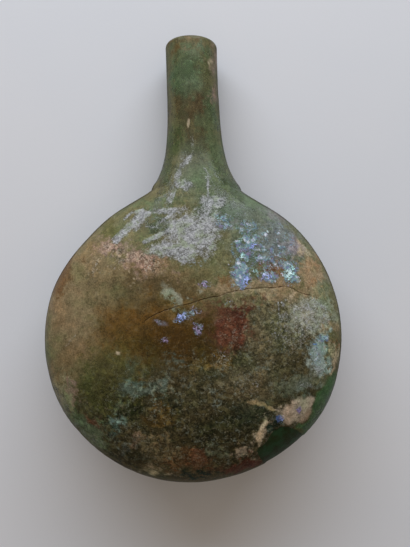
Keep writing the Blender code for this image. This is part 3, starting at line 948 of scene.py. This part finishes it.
def washed(tone, name, share):
    """The colours so far, with a wash of a named colour over them."""
    return tone + (COLOURS[name] - tone) * share[:, None]


def stained(where):
    """All the stains and plaques, one over the other, looked up at a place for each point."""
    tone = np.tile(COLOURS["olive"], (len(where), 1))
    for name, *shape, strength in STAINS:
        tone = washed(tone, name, oval(where, *shape) * strength)
    for name, *shape, strength in PLAQUES:
        tone = washed(tone, name, oval(nearly, *shape, PLAQUE_SOFTNESS) * strength)
    return tone


under = np.tile(COLOURS["olive"], (len(places), 1))
under = washed(under, "brown olive", smooth_step(0.0, 0.5, cloud))
under = washed(under, "moss", smooth_step(0.0, 0.6, -patch))
under = washed(under, "tan", 0.7 * smooth_step(0.25, 0.7, patch))
# painted shade: steep edges and the lip are made darker in the colour itself
shaded = (1 - EDGE_PAINTED_SHADE * np.maximum(edge, lip))[:, None]
tone, stray = (
    (under + (stained(where) - under) * top[:, None]) * shaded for where in (wandered, strayed)
)
print("mean colour:", np.round(tone.mean(axis=0), 3))

# %% [markdown]
# ## Coverings on the points
#
# Milk, sparks, crust, clear glass and specks are plain numbers: how much of each there is.
# Where ovals of one table overlap, the stronger one counts, so that they join into one
# shape. Milk gets its streaks as well, with the painted highlight that they carry, and there
# is less crust on the crisp plaques.

# %% Paint the coverings
UNDERSIDE_MILK, UNDERSIDE_CLEAR, UNDERSIDE_SPECKS = 0.4, 0.3, 0.35
CRUST_LOST_ON_PLAQUES = 0.6
MILK_AND_HIGHLIGHT_PATCHINESS, SPARKS_PATCHINESS = 0.30, 0.9


def covering(table, where, softness=0.5):
    """The strongest of the ovals of a table at each point."""
    total = np.zeros(len(where))
    for *shape, strength in table:
        total = np.maximum(total, oval(where, *shape, softness) * strength)
    return total


def two_sided(above, below):
    """One value on the side that shows and another underneath."""
    return above * top + below * (1 - top)


milk_and_highlight = covering(MILK_AND_HIGHLIGHT, drifted)
near_line = moved(0.4, 0.25)
for half, strength, line in MILK_AND_HIGHLIGHT_STREAKS:
    far, _ = to_line(near_line, line)
    milk_and_highlight = np.maximum(milk_and_highlight, (1 - smooth_step(0.2 * half, 1.6 * half, far)) * strength)
milk_and_highlight *= np.clip(1.0 + MILK_AND_HIGHLIGHT_PATCHINESS * noise_field(places, 2.4, 11), 0.3, 1.15)
sparks = covering(SPARKS, nearly, 0.6)
sparks *= np.clip(1.0 + SPARKS_PATCHINESS * noise_field(places, 1.7, 6), 0.3, 1.3)
crust = covering(CRUSTS, wandered)
on_plaques = covering([plaque[1:] for plaque in PLAQUES], nearly, 0.2)
crust *= 1 - CRUST_LOST_ON_PLAQUES * on_plaques
painted = {
    "milk_and_highlight": two_sided(milk_and_highlight, UNDERSIDE_MILK * smooth_step(0.3, 0.8, patch)),
    "sparks": two_sided(sparks, 0.0),
    "crust": two_sided(crust, smooth_step(-0.1, 0.5, cloud)),
    "clear": two_sided(covering(CLEAR, wandered), UNDERSIDE_CLEAR),
    "specks": two_sided(covering(SPECKS, wandered, 0.7), UNDERSIDE_SPECKS),
    "rim": rim,
}
print("milky share of the top:", round(float(painted["milk_and_highlight"][top > 0.5].mean()), 3))

# %% [markdown]
# ## Glints on the points
#
# The brightest splinters each have a colour of their own, a painted highlight. They go into
# one colour layer: its three colours say how a splinter shines, and its alpha says how much
# of it there is. Where two meet, their colours mix by how strong each is.

# %% Paint the glints
GLINT_SPREAD, GLINT_SOFTNESS = 1.05, 0.9
shine = np.zeros((len(places), 4))
for name, x, y, half_x, half_y, turn, strength in GLINTS:
    size = (GLINT_SPREAD * half_x, GLINT_SPREAD * half_y)
    share = oval(nearly, x, y, *size, turn, GLINT_SOFTNESS) * strength * top
    weight = share / np.maximum(share + shine[:, 3], 1e-6)
    shine[:, :3] += (COLOURS[name] - shine[:, :3]) * weight[:, None]
    shine[:, 3] = np.maximum(shine[:, 3], share)
print("points that glint:", int((shine[:, 3] > 0.1).sum()))

# %% [markdown]
# ## The crack and the scar on the points
#
# Both are kept as distances in millimetres, cut off at 4: from the crack, and from the
# outline of the scar, with a plus inside it. A distance can be turned into a line of any
# width or a soft step later. Whether a point is inside the outline is told by counting how
# often a straight way out crosses it. The scar hangs down over the edge of the flask in a
# half oval, along the chip.

# %% Distances to the crack and the scar
FAR_ENOUGH = 4.0
SCAR_HANGS = 6.5
far, side = to_line(moved(0.0, 0.3), CRACK)
crack = np.clip(far * side, -FAR_ENOUGH, FAR_ENOUGH)
painted["crack"] = np.where(top > 0.5, crack, FAR_ENOUGH)

closed = SCAR + SCAR[:1]
far, _ = to_line(moved(0.0, 0.25), closed)
x, y = flat_places.T
crossings = np.zeros(len(places))
for (x0, y0), (x1, y1) in zip(closed, closed[1:]):
    crossings += ((y0 > y) != (y1 > y)) & (x < (x1 - x0) * (y - y0) / (y1 - y0 + 1e-12) + x0)
scar = np.where(crossings % 2 == 1, far, -far)

middle = np.mean(SCAR, axis=0)
tangent = np.array([math.cos(CHIP_BEARING), -math.sin(CHIP_BEARING)])
half_length = np.abs((np.array(SCAR) - middle) @ tangent).max()
along = (flat_places - middle) @ tangent / half_length
hang = SCAR_HANGS * np.sqrt(np.clip(1 - along**2, 0, 1)) + height + 0.4 * fine[:, 2]
painted["scar"] = np.clip(np.minimum(scar, hang), -FAR_ENOUGH, FAR_ENOUGH)
print("points in the scar:", int((painted["scar"] > 0).sum()))

# %% [markdown]
# Numbers go onto the mesh as float layers and colours as colour layers. A colour with only
# three parts gets a full alpha.

# %% Store the layers on the mesh
for name, values in painted.items():
    write_layer(flask_mesh, name, values)
for name, colour in {"tone": tone, "stray": stray, "shine": shine}.items():
    colour = np.column_stack([colour, np.ones(len(colour))])[:, :4]
    write_layer(flask_mesh, name, colour, "FLOAT_COLOR", "color")
print("layers:", ", ".join([*painted, "tone", "stray", "shine"]))

# %% [markdown]
# ## Relief
#
# Crust is rough to the touch, the scar is a step down to clean glass, the crack is a fine
# groove, and even the smooth parts of blown glass roll a little. A second tree moves each
# point along its normal, with noise where the painted numbers ask for it. The finest grain
# is left to the material, because the mesh would need millions of faces for it.

# %% The tree that raises the relief
def relief_tree():
    sizes = ("Roll", "Crust", "Flake", "Groove", "Step")
    tree = new_group("relief", dict.fromkeys(sizes, "Float"))
    given = add(tree, "NodeGroupInput").outputs
    place = scaled(add(tree, "GeometryNodeInputPosition").outputs[0], 1 / MM)

    def noise(scale, detail, rough):
        inputs = {"Vector": place, "Scale": scale, "Detail": detail, "Roughness": rough}
        return plus(add(tree, "ShaderNodeTexNoise", inputs).outputs[0], -0.5)

    roll = times(noise(0.07, 1.0, 0.5), given["Roll"])
    cells = {"Vector": place, "Scale": 0.42}
    pits = add(tree, "ShaderNodeTexVoronoi", cells, feature="SMOOTH_F1").outputs[0]
    rubble = plus(times(noise(0.45, 4.0, 0.6), 2.0), fade(pits, 0.1, 0.6, -0.7, 0.0))
    crusty = times(rubble, stored(tree, "crust"), given["Crust"])
    scales = times(noise(0.6, 3.0, 0.6), stored(tree, "milk_and_highlight"), given["Flake"])
    near = fade(calc("ABSOLUTE", stored(tree, "crack")), 0.0, 0.7, -1.0, 0.0)
    height = plus(roll, crusty, scales, times(near, given["Groove"]))

    scar = stored(tree, "scar")
    drop = times(fade(scar, -0.35, 0.35), given["Step"])
    height = calc("SUBTRACT", times(height, fade(scar, -0.6, 0.2, 1.0, 0.1)), drop)
    height = times(height, calc("SUBTRACT", 1.0, stored(tree, "inside"), clamp=True))
    move = scaled(add(tree, "GeometryNodeInputNormal").outputs[0], height)
    skin = {"Geometry": given["Geometry"], "Offset": move}
    end_group(tree, add(tree, "GeometryNodeSetPosition", skin).outputs[0], old_glass)
    return tree


print("relief tree defined")

# %% [markdown]
# The relief is raised on the finished, painted mesh. Where the flask rests it stays smooth,
# so the two flats still lie true on the table and nothing sinks into it.

# %% Raise it
RESTS_BELOW = 0.6 * MM
relief_values = {
    "Roll": 0.35 * MM, "Crust": 0.22 * MM, "Flake": 0.12 * MM,
    "Groove": 0.10 * MM, "Step": 0.25 * MM,
}
flask = in_scene("old_flask", flask_mesh)
flask.data = grown(flask, relief_tree(), relief_values, "old_flask")
smooth_points, points = points, points_of(flask.data)
resting = (own[:, 2] < 0) & (smooth_points[:, 2] < RESTS_BELOW)
points[resting, 2] = smooth_points[resting, 2]
points[:, 2] = np.maximum(points[:, 2], 0.0)
flask.data.vertices.foreach_set("co", points.ravel())
flask.data.update()
relief = np.linalg.norm(points - smooth_points, axis=1)
print("highest relief, mm:", np.round(relief.max() / MM, 2))

# %% [markdown]
# ## The material: glass under a weathered skin
#
# Two surfaces are mixed. One is plain clear green glass, see-through, with its green from
# an absorbing volume: thick places come out darker, as in a real bottle. The other is the
# weathered film, with the painted stains broken up by noise, and milk, crust, glitter and
# the crack laid over them; milk, glitter and glints also carry painted highlights, and a
# thin dark line of painted shade runs round the flask. The painted numbers only say how
# much of each there is. Noise decides, finer than the mesh can, exactly where it shows.

# %% Start the material, and noises for it
old_glass.use_nodes = True
glass = old_glass.node_tree
glass.nodes.clear()
where = add(glass, "ShaderNodeTexCoord").outputs["Object"]
where = add(glass, "ShaderNodeMapping", {"Vector": where, "Scale": (1 / MM,) * 3}).outputs[0]
NOISE_SPREAD = 2.6


def noise_at(place, **inputs):
    """Noise around 0, mostly within half a unit."""
    made = add(glass, "ShaderNodeTexNoise", {"Vector": place, **inputs}).outputs[0]
    return times(plus(made, -0.5), NOISE_SPREAD)


def noise(scale, detail=4.0, rough=0.6, shift=0.0, marbled=0.0):
    """Noise with that many waves per millimetre; another shift gives another pattern."""
    place = add(glass, "ShaderNodeVectorMath", {0: where, 1: (shift, shift, shift)}).outputs[0]
    return noise_at(place, Scale=scale, Detail=detail, Roughness=rough, Distortion=marbled)


def strokes(turn, length, width):
    """Noise drawn out into strokes of about that length and width in millimetres."""
    angle = (0, 0, math.radians(turn))
    inputs = {"Vector": where, "Rotation": angle, "Scale": (length, width, width)}
    place = add(glass, "ShaderNodeMapping", inputs, vector_type="TEXTURE").outputs[0]
    return noise_at(place, Scale=1.0, Detail=4.0, Roughness=0.7)


NOISES = {
    "clouds": noise(0.11, 4.0, 0.55), "blots": noise(0.34, 5.0, 0.6, 31.0),
    "grit": noise(0.8, 6.0, 0.72, 57.0), "grain": noise(2.0, 3.0, 0.75, 11.0),
    "drawn": strokes(90.0, 5.0, 0.8), "brushed": strokes(31.0, 4.0, 0.55),
}
print("noises:", ", ".join(NOISES))

# %% [markdown]
# ## Words for the material
#
# The painted layers come in by their names. Noise is stirred into them, so that the smooth
# numbers get torn, grainy borders.

# %% Read the layers and stir them
def layer_here(name):
    """What the material finds in a layer of the mesh."""
    return add(glass, "ShaderNodeAttribute", attribute_name=name).outputs


here = {name: layer_here(name)["Fac"] for name in (*painted, "inside")}


def stirred(value, **shares):
    """A value plus shares of the noises that are named."""
    return plus(value, *(times(NOISES[name], share) for name, share in shares.items()))


def blots_fade(*limits):
    """A smooth rise that follows the blots."""
    return fade(NOISES["blots"], *limits)


print("painted layers that the material reads:", len(here))

# %% [markdown]
# With these helpers each finish is a line or two: how much of it there is here, then its
# colour over the colour so far. A colour ramp can't hold colours brighter than 1, so its
# colours go in halved and come out doubled.

# %% Helpers for mixing
def paint(red, green, blue):
    """A colour as seen, ready for a colour socket."""
    return (*seen(red, green, blue), 1)


def colour_mix(share, under, over, mode="MIX"):
    """One colour over another, by a share from 0 to 1."""
    inputs = {0: share, 6: under, 7: over}
    settings = {"data_type": "RGBA", "blend_type": mode}
    return add(tree_of(share, under, over), "ShaderNodeMix", inputs, **settings).outputs[2]


def number_mix(share, low, high):
    """A number between two others, by a share from 0 to 1."""
    inputs = {0: share, 2: low, 3: high}
    return add(tree_of(share, low, high), "ShaderNodeMix", inputs).outputs[0]


def shades(value, *stops):
    """Colours along a value, each with its place from 0 to 1."""
    ramp = add(glass, "ShaderNodeValToRGB", {0: value})
    elements = ramp.color_ramp.elements
    for number, (position, shade) in enumerate((stops[0], stops[-1], *stops[1:-1])):
        stop = elements[number] if number < 2 else elements.new(position)
        stop.position, stop.color = position, (*(0.5 * part for part in shade), 1)
    return scaled(ramp.outputs[0], 2.0)


print("mixing helpers ready")

# %% [markdown]
# ## The ground colour
#
# Under everything lie the stains. The smooth film has a soft grain, which on the neck is
# drawn out lengthwise, because the glass was. Crust is a coarse rubble, marbled in light
# and dark, with a network of fine dark veins round paler pebbles.

# %% Stains, film grain and crust
swap = fade(noise(0.7, 6.0, 0.8, 19.0), -0.05, 0.25)
ground = colour_mix(swap, layer_here("tone")["Color"], layer_here("stray")["Color"])
on_neck = fade(add(glass, "ShaderNodeSeparateXYZ", {0: where}).outputs["Y"], 22.0, 38.0)
streaky = number_mix(on_neck, NOISES["blots"], NOISES["drawn"])
film_grain = shades(
    stirred(plus(times(streaky, 0.40), 0.5), grit=0.50, grain=0.80),
    (0.0, (0.50, 0.50, 0.44)), (0.5, (1.0, 1.0, 1.0)), (1.0, (1.62, 1.58, 1.56)),
)
marble = noise(0.42, 5.0, 0.62, 23.0, 1.4)
rubble = shades(
    stirred(plus(times(marble, 0.65), 0.5), grit=0.50, grain=0.35),
    (0.0, (0.20, 0.25, 0.20)), (0.24, (0.46, 0.50, 0.42)), (0.42, (0.84, 0.82, 0.74)),
    (0.60, (1.16, 1.13, 1.08)), (1.0, (1.62, 1.58, 1.52)),
)
pebbles = noise(0.55, 4.0, 0.60, 43.0)
outlines = fade(calc("ABSOLUTE", plus(pebbles, 0.04)), 0.0, 0.10, 0.52, 1.0)
veins = times(outlines, fade(pebbles, 0.02, 0.20, 0.88, 1.50))
colour = colour_mix(1.0, ground, colour_mix(here["crust"], film_grain, rubble), "MULTIPLY")
colour = scaled(colour, number_mix(here["crust"], 1.0, veins))
print("nodes so far:", len(glass.nodes))

# %% [markdown]
# Two more things happen to the ground. Broad clouds shift its hue between greenish and
# reddish, and pale dust has settled in it, most of all in the crust. Then come the chalky
# specks, which are a lighter version of the stain that they sit on.

# %% Hue, dust and chalk
HUE_SHARE = 0.8
DUST_ON_FILM, DUST_ON_CRUST = 0.12, 0.46
CHALK_COVERS = 0.8
hue = shades(
    plus(NOISES["clouds"], 0.5),
    (0.1, (0.88, 1.06, 0.93)), (0.5, (1.0, 1.0, 1.0)), (0.9, (1.10, 0.97, 0.90)),
)
colour = colour_mix(HUE_SHARE, colour, hue, "MULTIPLY")
dust = stirred(times(noise(0.62, 6.0, 0.72, 7.0, 1.0), 0.8), grain=0.35, blots=0.2)
dust = times(fade(dust, 0.0, 0.50), plus(times(here["crust"], DUST_ON_CRUST), DUST_ON_FILM))
pale = colour_mix(blots_fade(-0.3, 0.3), paint(134, 126, 104), paint(116, 124, 114))
colour = colour_mix(dust, colour, pale)

chalk = fade(stirred(here["specks"], grain=0.95, grit=0.30), 0.76, 1.02)
chalky = colour_mix(0.5, scaled(ground, 2.0), paint(156, 150, 134))
colour = colour_mix(times(chalk, CHALK_COVERS), colour, chalky)
print("nodes so far:", len(glass.nodes))

# %% [markdown]
# ## Milk and its painted highlight
#
# Milky film is glass that has split into layers thinner than paper, with air between them.
# It scatters the light, so it looks like a pale grey powder. Part of its whiteness below the
# neck, and the bright streak at the upper left, is painted highlight of the window. It is
# torn along the way it was brushed, and long fine tears cut through it. Here and there the
# green shows through.

# %% Milky flakes and painted highlight
MILK_AND_HIGHLIGHT_COVERS = 0.86
MILK_AND_HIGHLIGHT_GREY, MILK_AND_HIGHLIGHT_GREEN = paint(141, 141, 144), paint(114, 120, 107)
flakes_and_highlight = fade(stirred(here["milk_and_highlight"], grain=0.50, grit=0.30, brushed=0.30), 0.30, 0.96)
powder = stirred(0.0, grain=0.9, brushed=0.5, grit=0.8, blots=0.5)
powder = fade(powder, -0.7, 0.7, 0.42, 1.46)
tears = fade(calc("ABSOLUTE", noise(0.20, 4.0, 0.60, 83.0, 1.2)), 0.0, 0.05, 0.50, 1.0)
milk_and_highlight_colour = colour_mix(blots_fade(-0.1, 0.4), MILK_AND_HIGHLIGHT_GREY, MILK_AND_HIGHLIGHT_GREEN)
milk_and_highlight_colour = scaled(milk_and_highlight_colour, times(powder, tears))
colour = colour_mix(times(flakes_and_highlight, MILK_AND_HIGHLIGHT_COVERS), colour, milk_and_highlight_colour)
print("nodes so far:", len(glass.nodes))

# %% [markdown]
# ## Glitter
#
# The thinnest films shine like a soap bubble: violet, blue, turquoise, by their thickness.
# A shader could work these colours out. Here they are taken in turn from a short row of
# colours instead, because that says exactly how bright and how blue the field is, so the
# film colours are partly painted highlight. The splinters come over them as painted
# highlights, twinkling brighter from grain to grain.

# %% Films and splinters, painted as highlights
FILMS_AND_HIGHLIGHTS_COVER = 0.80
GLINTING_SPLINTERS_COVER = 0.92
glitter = fade(stirred(here["sparks"], grain=0.65, grit=0.50, blots=0.20), 0.42, 0.84)
films_and_highlights = shades(
    plus(times(noise(0.7, 3.0, 0.6, 71.0), 0.8), 0.5),
    (0.05, seen(96, 92, 96)), (0.26, seen(118, 108, 136)), (0.40, seen(88, 108, 138)),
    (0.54, seen(102, 132, 130)), (0.68, seen(132, 146, 156)), (0.80, seen(172, 172, 196)),
    (0.95, seen(196, 222, 220)),
)
colour = colour_mix(times(glitter, FILMS_AND_HIGHLIGHTS_COVER), colour, films_and_highlights)

shine_here = layer_here("shine")
# glinting splinters: painted highlights, made up to 1.6 times brighter by the twinkle
glinting_splinters = fade(stirred(times(shine_here["Alpha"], 0.90), grain=0.60, grit=0.65), 0.50, 0.86)
painted_twinkle = fade(stirred(times(noise(1.4, 3.0, 0.7, 5.0), 0.6), grain=0.8), -0.4, 0.5, 0.55, 1.60)
painted_glint = scaled(shine_here["Color"], painted_twinkle)
colour = colour_mix(times(glinting_splinters, GLINTING_SPLINTERS_COVER), colour, painted_glint)
print("nodes so far:", len(glass.nodes))

# %% [markdown]
# ## Pits, crack, scar and outline
#
# The dark things come last, because they are holes in everything else: round pits in the
# crust, a dark brown line along the crack, the scar where dark clean glass lies bare, and
# the thin dark line round the flask, which is painted shade. The inside of the flask is
# coated with plain brown silt.

# %% Dark places
PITS_COVER = 0.7
holes = add(glass, "ShaderNodeTexVoronoi", {"Vector": where, "Scale": 0.55}).outputs["Distance"]
pits = times(fade(holes, 0.08, 0.20, 1.0, 0.0), blots_fade(0.0, 0.2), here["crust"])
colour = colour_mix(times(pits, PITS_COVER), colour, paint(40, 34, 22))

line = fade(stirred(calc("ABSOLUTE", here["crack"]), grain=0.08), 0.02, 0.24, 1.0, 0.0)
line = times(line, blots_fade(-0.3, 0.2, 0.3, 0.9))
colour = colour_mix(line, colour, paint(52, 38, 22))

bare = fade(here["scar"], -0.15, 0.1)
bare_glass = colour_mix(blots_fade(-0.3, 0.3), paint(36, 43, 25), paint(38, 58, 38))
colour = colour_mix(bare, colour, bare_glass)

# painted shade: the thin dark line along the outline of the flask
painted_rim_shade = times(here["rim"], fade(stirred(NOISES["blots"], grit=0.5), -0.5, 0.2, 0.45, 0.90))
colour = colour_mix(painted_rim_shade, colour, paint(30, 26, 16))
colour = colour_mix(here["inside"], colour, paint(70, 60, 40))
print("nodes so far:", len(glass.nodes))

# %% [markdown]
# ## Roughness and fine relief
#
# Every finish has its own gloss: crust and milk are dull, splinters shine. The same
# numbers that colour the surface raise it too, as bump, so that light and colour agree.

# %% Roughness
ROUGH = {"film": 0.42, "crust": 0.75, "milk_and_highlight": 0.62, "glinting_splinters": 0.30, "scar": 0.55, "rim": 0.95}
rough = number_mix(here["crust"], ROUGH["film"], ROUGH["crust"])
rough = number_mix(flakes_and_highlight, rough, ROUGH["milk_and_highlight"])
rough = number_mix(glinting_splinters, rough, ROUGH["glinting_splinters"])
rough = number_mix(bare, stirred(rough, grain=0.08), ROUGH["scar"])
rough = number_mix(here["rim"], rough, ROUGH["rim"])
print("roughness:", ROUGH)

# %% [markdown]
# Grit and grain rise highest in the crust. Flakes, glitter and splinters stand a little
# proud, and the crack and the pits go in.

# %% Bump
BUMP_STRENGTH, BUMP_HEIGHT = 0.8, 0.40 * MM
grit_height = times(NOISES["grit"], plus(times(here["crust"], 0.42), 0.04))
grain_height = times(NOISES["grain"], plus(times(here["crust"], 0.10), 0.02))
rise = plus(
    grit_height, grain_height, times(flakes_and_highlight, 0.30), times(flakes_and_highlight, NOISES["grain"], 0.25),
    times(glitter, 0.2), times(glinting_splinters, 0.3), times(line, -0.8), times(pits, -0.5),
)
bump = {"Height": rise, "Strength": BUMP_STRENGTH, "Distance": BUMP_HEIGHT}
bump = add(glass, "ShaderNodeBump", bump).outputs[0]
print("nodes so far:", len(glass.nodes))

# %% [markdown]
# ## Film over glass
#
# The film is nearly opaque, and the glass under it lets light through. Their share is the
# cover: full wherever flakes, glitter, crust, the crack's dark line or the painted shade of
# the rim lie, less where the map says clear.
# A little of the glass shows in the scar, too. Inside, the silt is thin in places. Plain
# values on the glass shader, with a green volume, are all that clear glass needs.

# %% Film, glass, and what covers it
GLASS_IOR, GLASS_ROUGHNESS = 1.5, 0.16
GLASS_TINT, GLASS_GREEN = (0.86, 0.93, 0.80, 1), (0.33, 0.52, 0.16, 1)
GLASS_DENSITY = 330.0
CRUST_COVER, RIM_COVER, SCAR_COVER = 0.7, 0.9, 0.94
film = add(glass, "ShaderNodeBsdfPrincipled", {
    "Base Color": colour, "Roughness": rough, "Normal": bump, "IOR": GLASS_IOR,
    "Metallic": times(glinting_splinters, 0.4), "Specular IOR Level": 0.10,
}).outputs[0]
clean = add(glass, "ShaderNodeBsdfPrincipled", {
    "Base Color": GLASS_TINT, "Roughness": GLASS_ROUGHNESS, "IOR": GLASS_IOR,
    "Transmission Weight": 1.0, "Normal": bump,
}).outputs[0]

thin = times(here["clear"], blots_fade(-0.4, 0.4, 1.1, 0.5))
cover = number_mix(bare, calc("SUBTRACT", 1.0, thin, clamp=True), SCAR_COVER)
whole = calc("SUBTRACT", 1.0, bare)
crusty, rim_shade_cover = times(here["crust"], CRUST_COVER), times(here["rim"], RIM_COVER)
for dense in (flakes_and_highlight, glitter, glinting_splinters, crusty, line, rim_shade_cover):
    cover = calc("MAXIMUM", cover, times(dense, whole))
silt = fade(noise(0.12, 4.0, 0.6, 97.0), -0.4, 0.4, 0.15, 0.75)
cover = number_mix(here["inside"], cover, silt)

surface = add(glass, "ShaderNodeMixShader", {0: cover, 1: clean, 2: film}).outputs[0]
volume = {"Color": GLASS_GREEN, "Density": GLASS_DENSITY}
volume = add(glass, "ShaderNodeVolumeAbsorption", volume).outputs[0]
add(glass, "ShaderNodeOutputMaterial", {"Surface": surface, "Volume": volume})
print("old glass:", len(glass.nodes), "nodes")

# %% [markdown]
# ## The table it lies on
#
# A large pale sheet of paper. Its own colour is nearly grey, a touch cool, with a very
# faint unevenness so that it isn't a dead flat tone, and a fine tooth.

# %% The paper
PAPER_HALF = 3.0
PAPER_DARK, PAPER_LIGHT = (0.70, 0.71, 0.76, 1), (0.73, 0.73, 0.77, 1)
pale_paper = bpy.data.materials.new("pale paper")
pale_paper.use_nodes = True
tree = pale_paper.node_tree
shader = tree.nodes["Principled BSDF"]
across = add(tree, "ShaderNodeTexCoord").outputs["Object"]
cloudy, fibre = (
    add(tree, "ShaderNodeTexNoise", {"Vector": across, "Scale": scale, "Detail": 3.0}).outputs[0]
    for scale in (9.0, 900.0)
)
tint = colour_mix(fade(cloudy, 0.3, 0.7), PAPER_DARK, PAPER_LIGHT)
tooth = {"Height": fibre, "Strength": 0.15, "Distance": 0.1 * MM}
tree.links.new(tint, shader.inputs["Base Color"])
tree.links.new(add(tree, "ShaderNodeBump", tooth).outputs[0], shader.inputs["Normal"])
shader.inputs["Roughness"].default_value = 0.75

paper_mesh = bpy.data.meshes.new("paper")
corners = [(x * PAPER_HALF, y * PAPER_HALF, 0) for x, y in ((-1, -1), (1, -1), (1, 1), (-1, 1))]
paper_mesh.from_pydata(corners, [], [(0, 1, 2, 3)])
paper_mesh.materials.append(pale_paper)
paper = in_scene("paper", paper_mesh)
print("paper laid, m across:", 2 * PAPER_HALF)

# %% [markdown]
# ## The window
#
# The light is one big window beyond the neck, low enough to throw a wide soft shadow
# towards the viewer. An area light shines along its own -Z, so it is turned to look at the
# middle of the table.

# %% One big window
WINDOW_PLACE = (-0.04, 0.80, 0.41)
WINDOW_SIZE = (1.5, 0.5)
WINDOW_POWER = 13.2
WINDOW_COLOUR = (0.84, 0.92, 1.0)
window_data = bpy.data.lights.new("window", "AREA")
window_data.shape = "RECTANGLE"
window_data.size, window_data.size_y = WINDOW_SIZE
window_data.energy = WINDOW_POWER
window_data.color = WINDOW_COLOUR
window = in_scene("window", window_data)
window.location = WINDOW_PLACE
window.rotation_euler = mathutils.Vector(WINDOW_PLACE).to_track_quat("Z", "Y").to_euler()
print("window at", WINDOW_PLACE)

# %% [markdown]
# ## The room
#
# A weak, warm light comes from everywhere else. The ceiling is the brightest part of the
# room, and the side towards the viewer is the darkest.

# %% The fill from the room
ROOM_COLOUR = (1.0, 0.86, 0.70, 1)
ROOM_STRENGTH = 0.342
world = bpy.data.worlds.new("room")
world.use_nodes = True
room = world.node_tree
looking = add(room, "ShaderNodeTexCoord").outputs["Generated"]
looking = add(room, "ShaderNodeSeparateXYZ", {0: looking}).outputs
ceiling = fade(looking["Z"], 0.3, 0.95, 0.45, 1.35)
viewer = fade(looking["Y"], -0.9, 0.1, 0.6, 1.0)
background = room.nodes["Background"]
background.inputs["Color"].default_value = ROOM_COLOUR
room.links.new(times(ceiling, viewer, ROOM_STRENGTH), background.inputs["Strength"])
bpy.context.scene.world = world
bpy.context.scene.view_settings.view_transform = "Standard"
bpy.context.scene.view_settings.look = "None"
print("room light:", ROOM_STRENGTH)

# %% [markdown]
# ## The camera
#
# It looks straight down on the flask from about 20 centimetres above the table. How wide
# it sees is given in pixels of the finished picture, which is 547 high.

# %% The camera
FRAME_HEIGHT = 547
FOCAL_PIXELS = 620.0
CAMERA_PLACE = (0.003713, -0.005962, 0.21634)
camera_data = bpy.data.cameras.new("camera")
camera_data.sensor_fit = "VERTICAL"
camera_data.sensor_height = 36.0
camera_data.lens = FOCAL_PIXELS / FRAME_HEIGHT * camera_data.sensor_height
camera_data.clip_start = 0.01
camera = in_scene("camera", camera_data)
camera.location = CAMERA_PLACE
bpy.context.scene.camera = camera
print("camera", round(camera_data.lens, 1), "mm")

# %% [markdown]
# ## Handing over
#
# The finished piece takes the place of the plain solid and rides on the same body. The
# last lines keep both boxes, so the sizes can be compared.

# %% Join the frame
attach(flask, "root")
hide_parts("flask")
print("the flask stands for the plain solid")
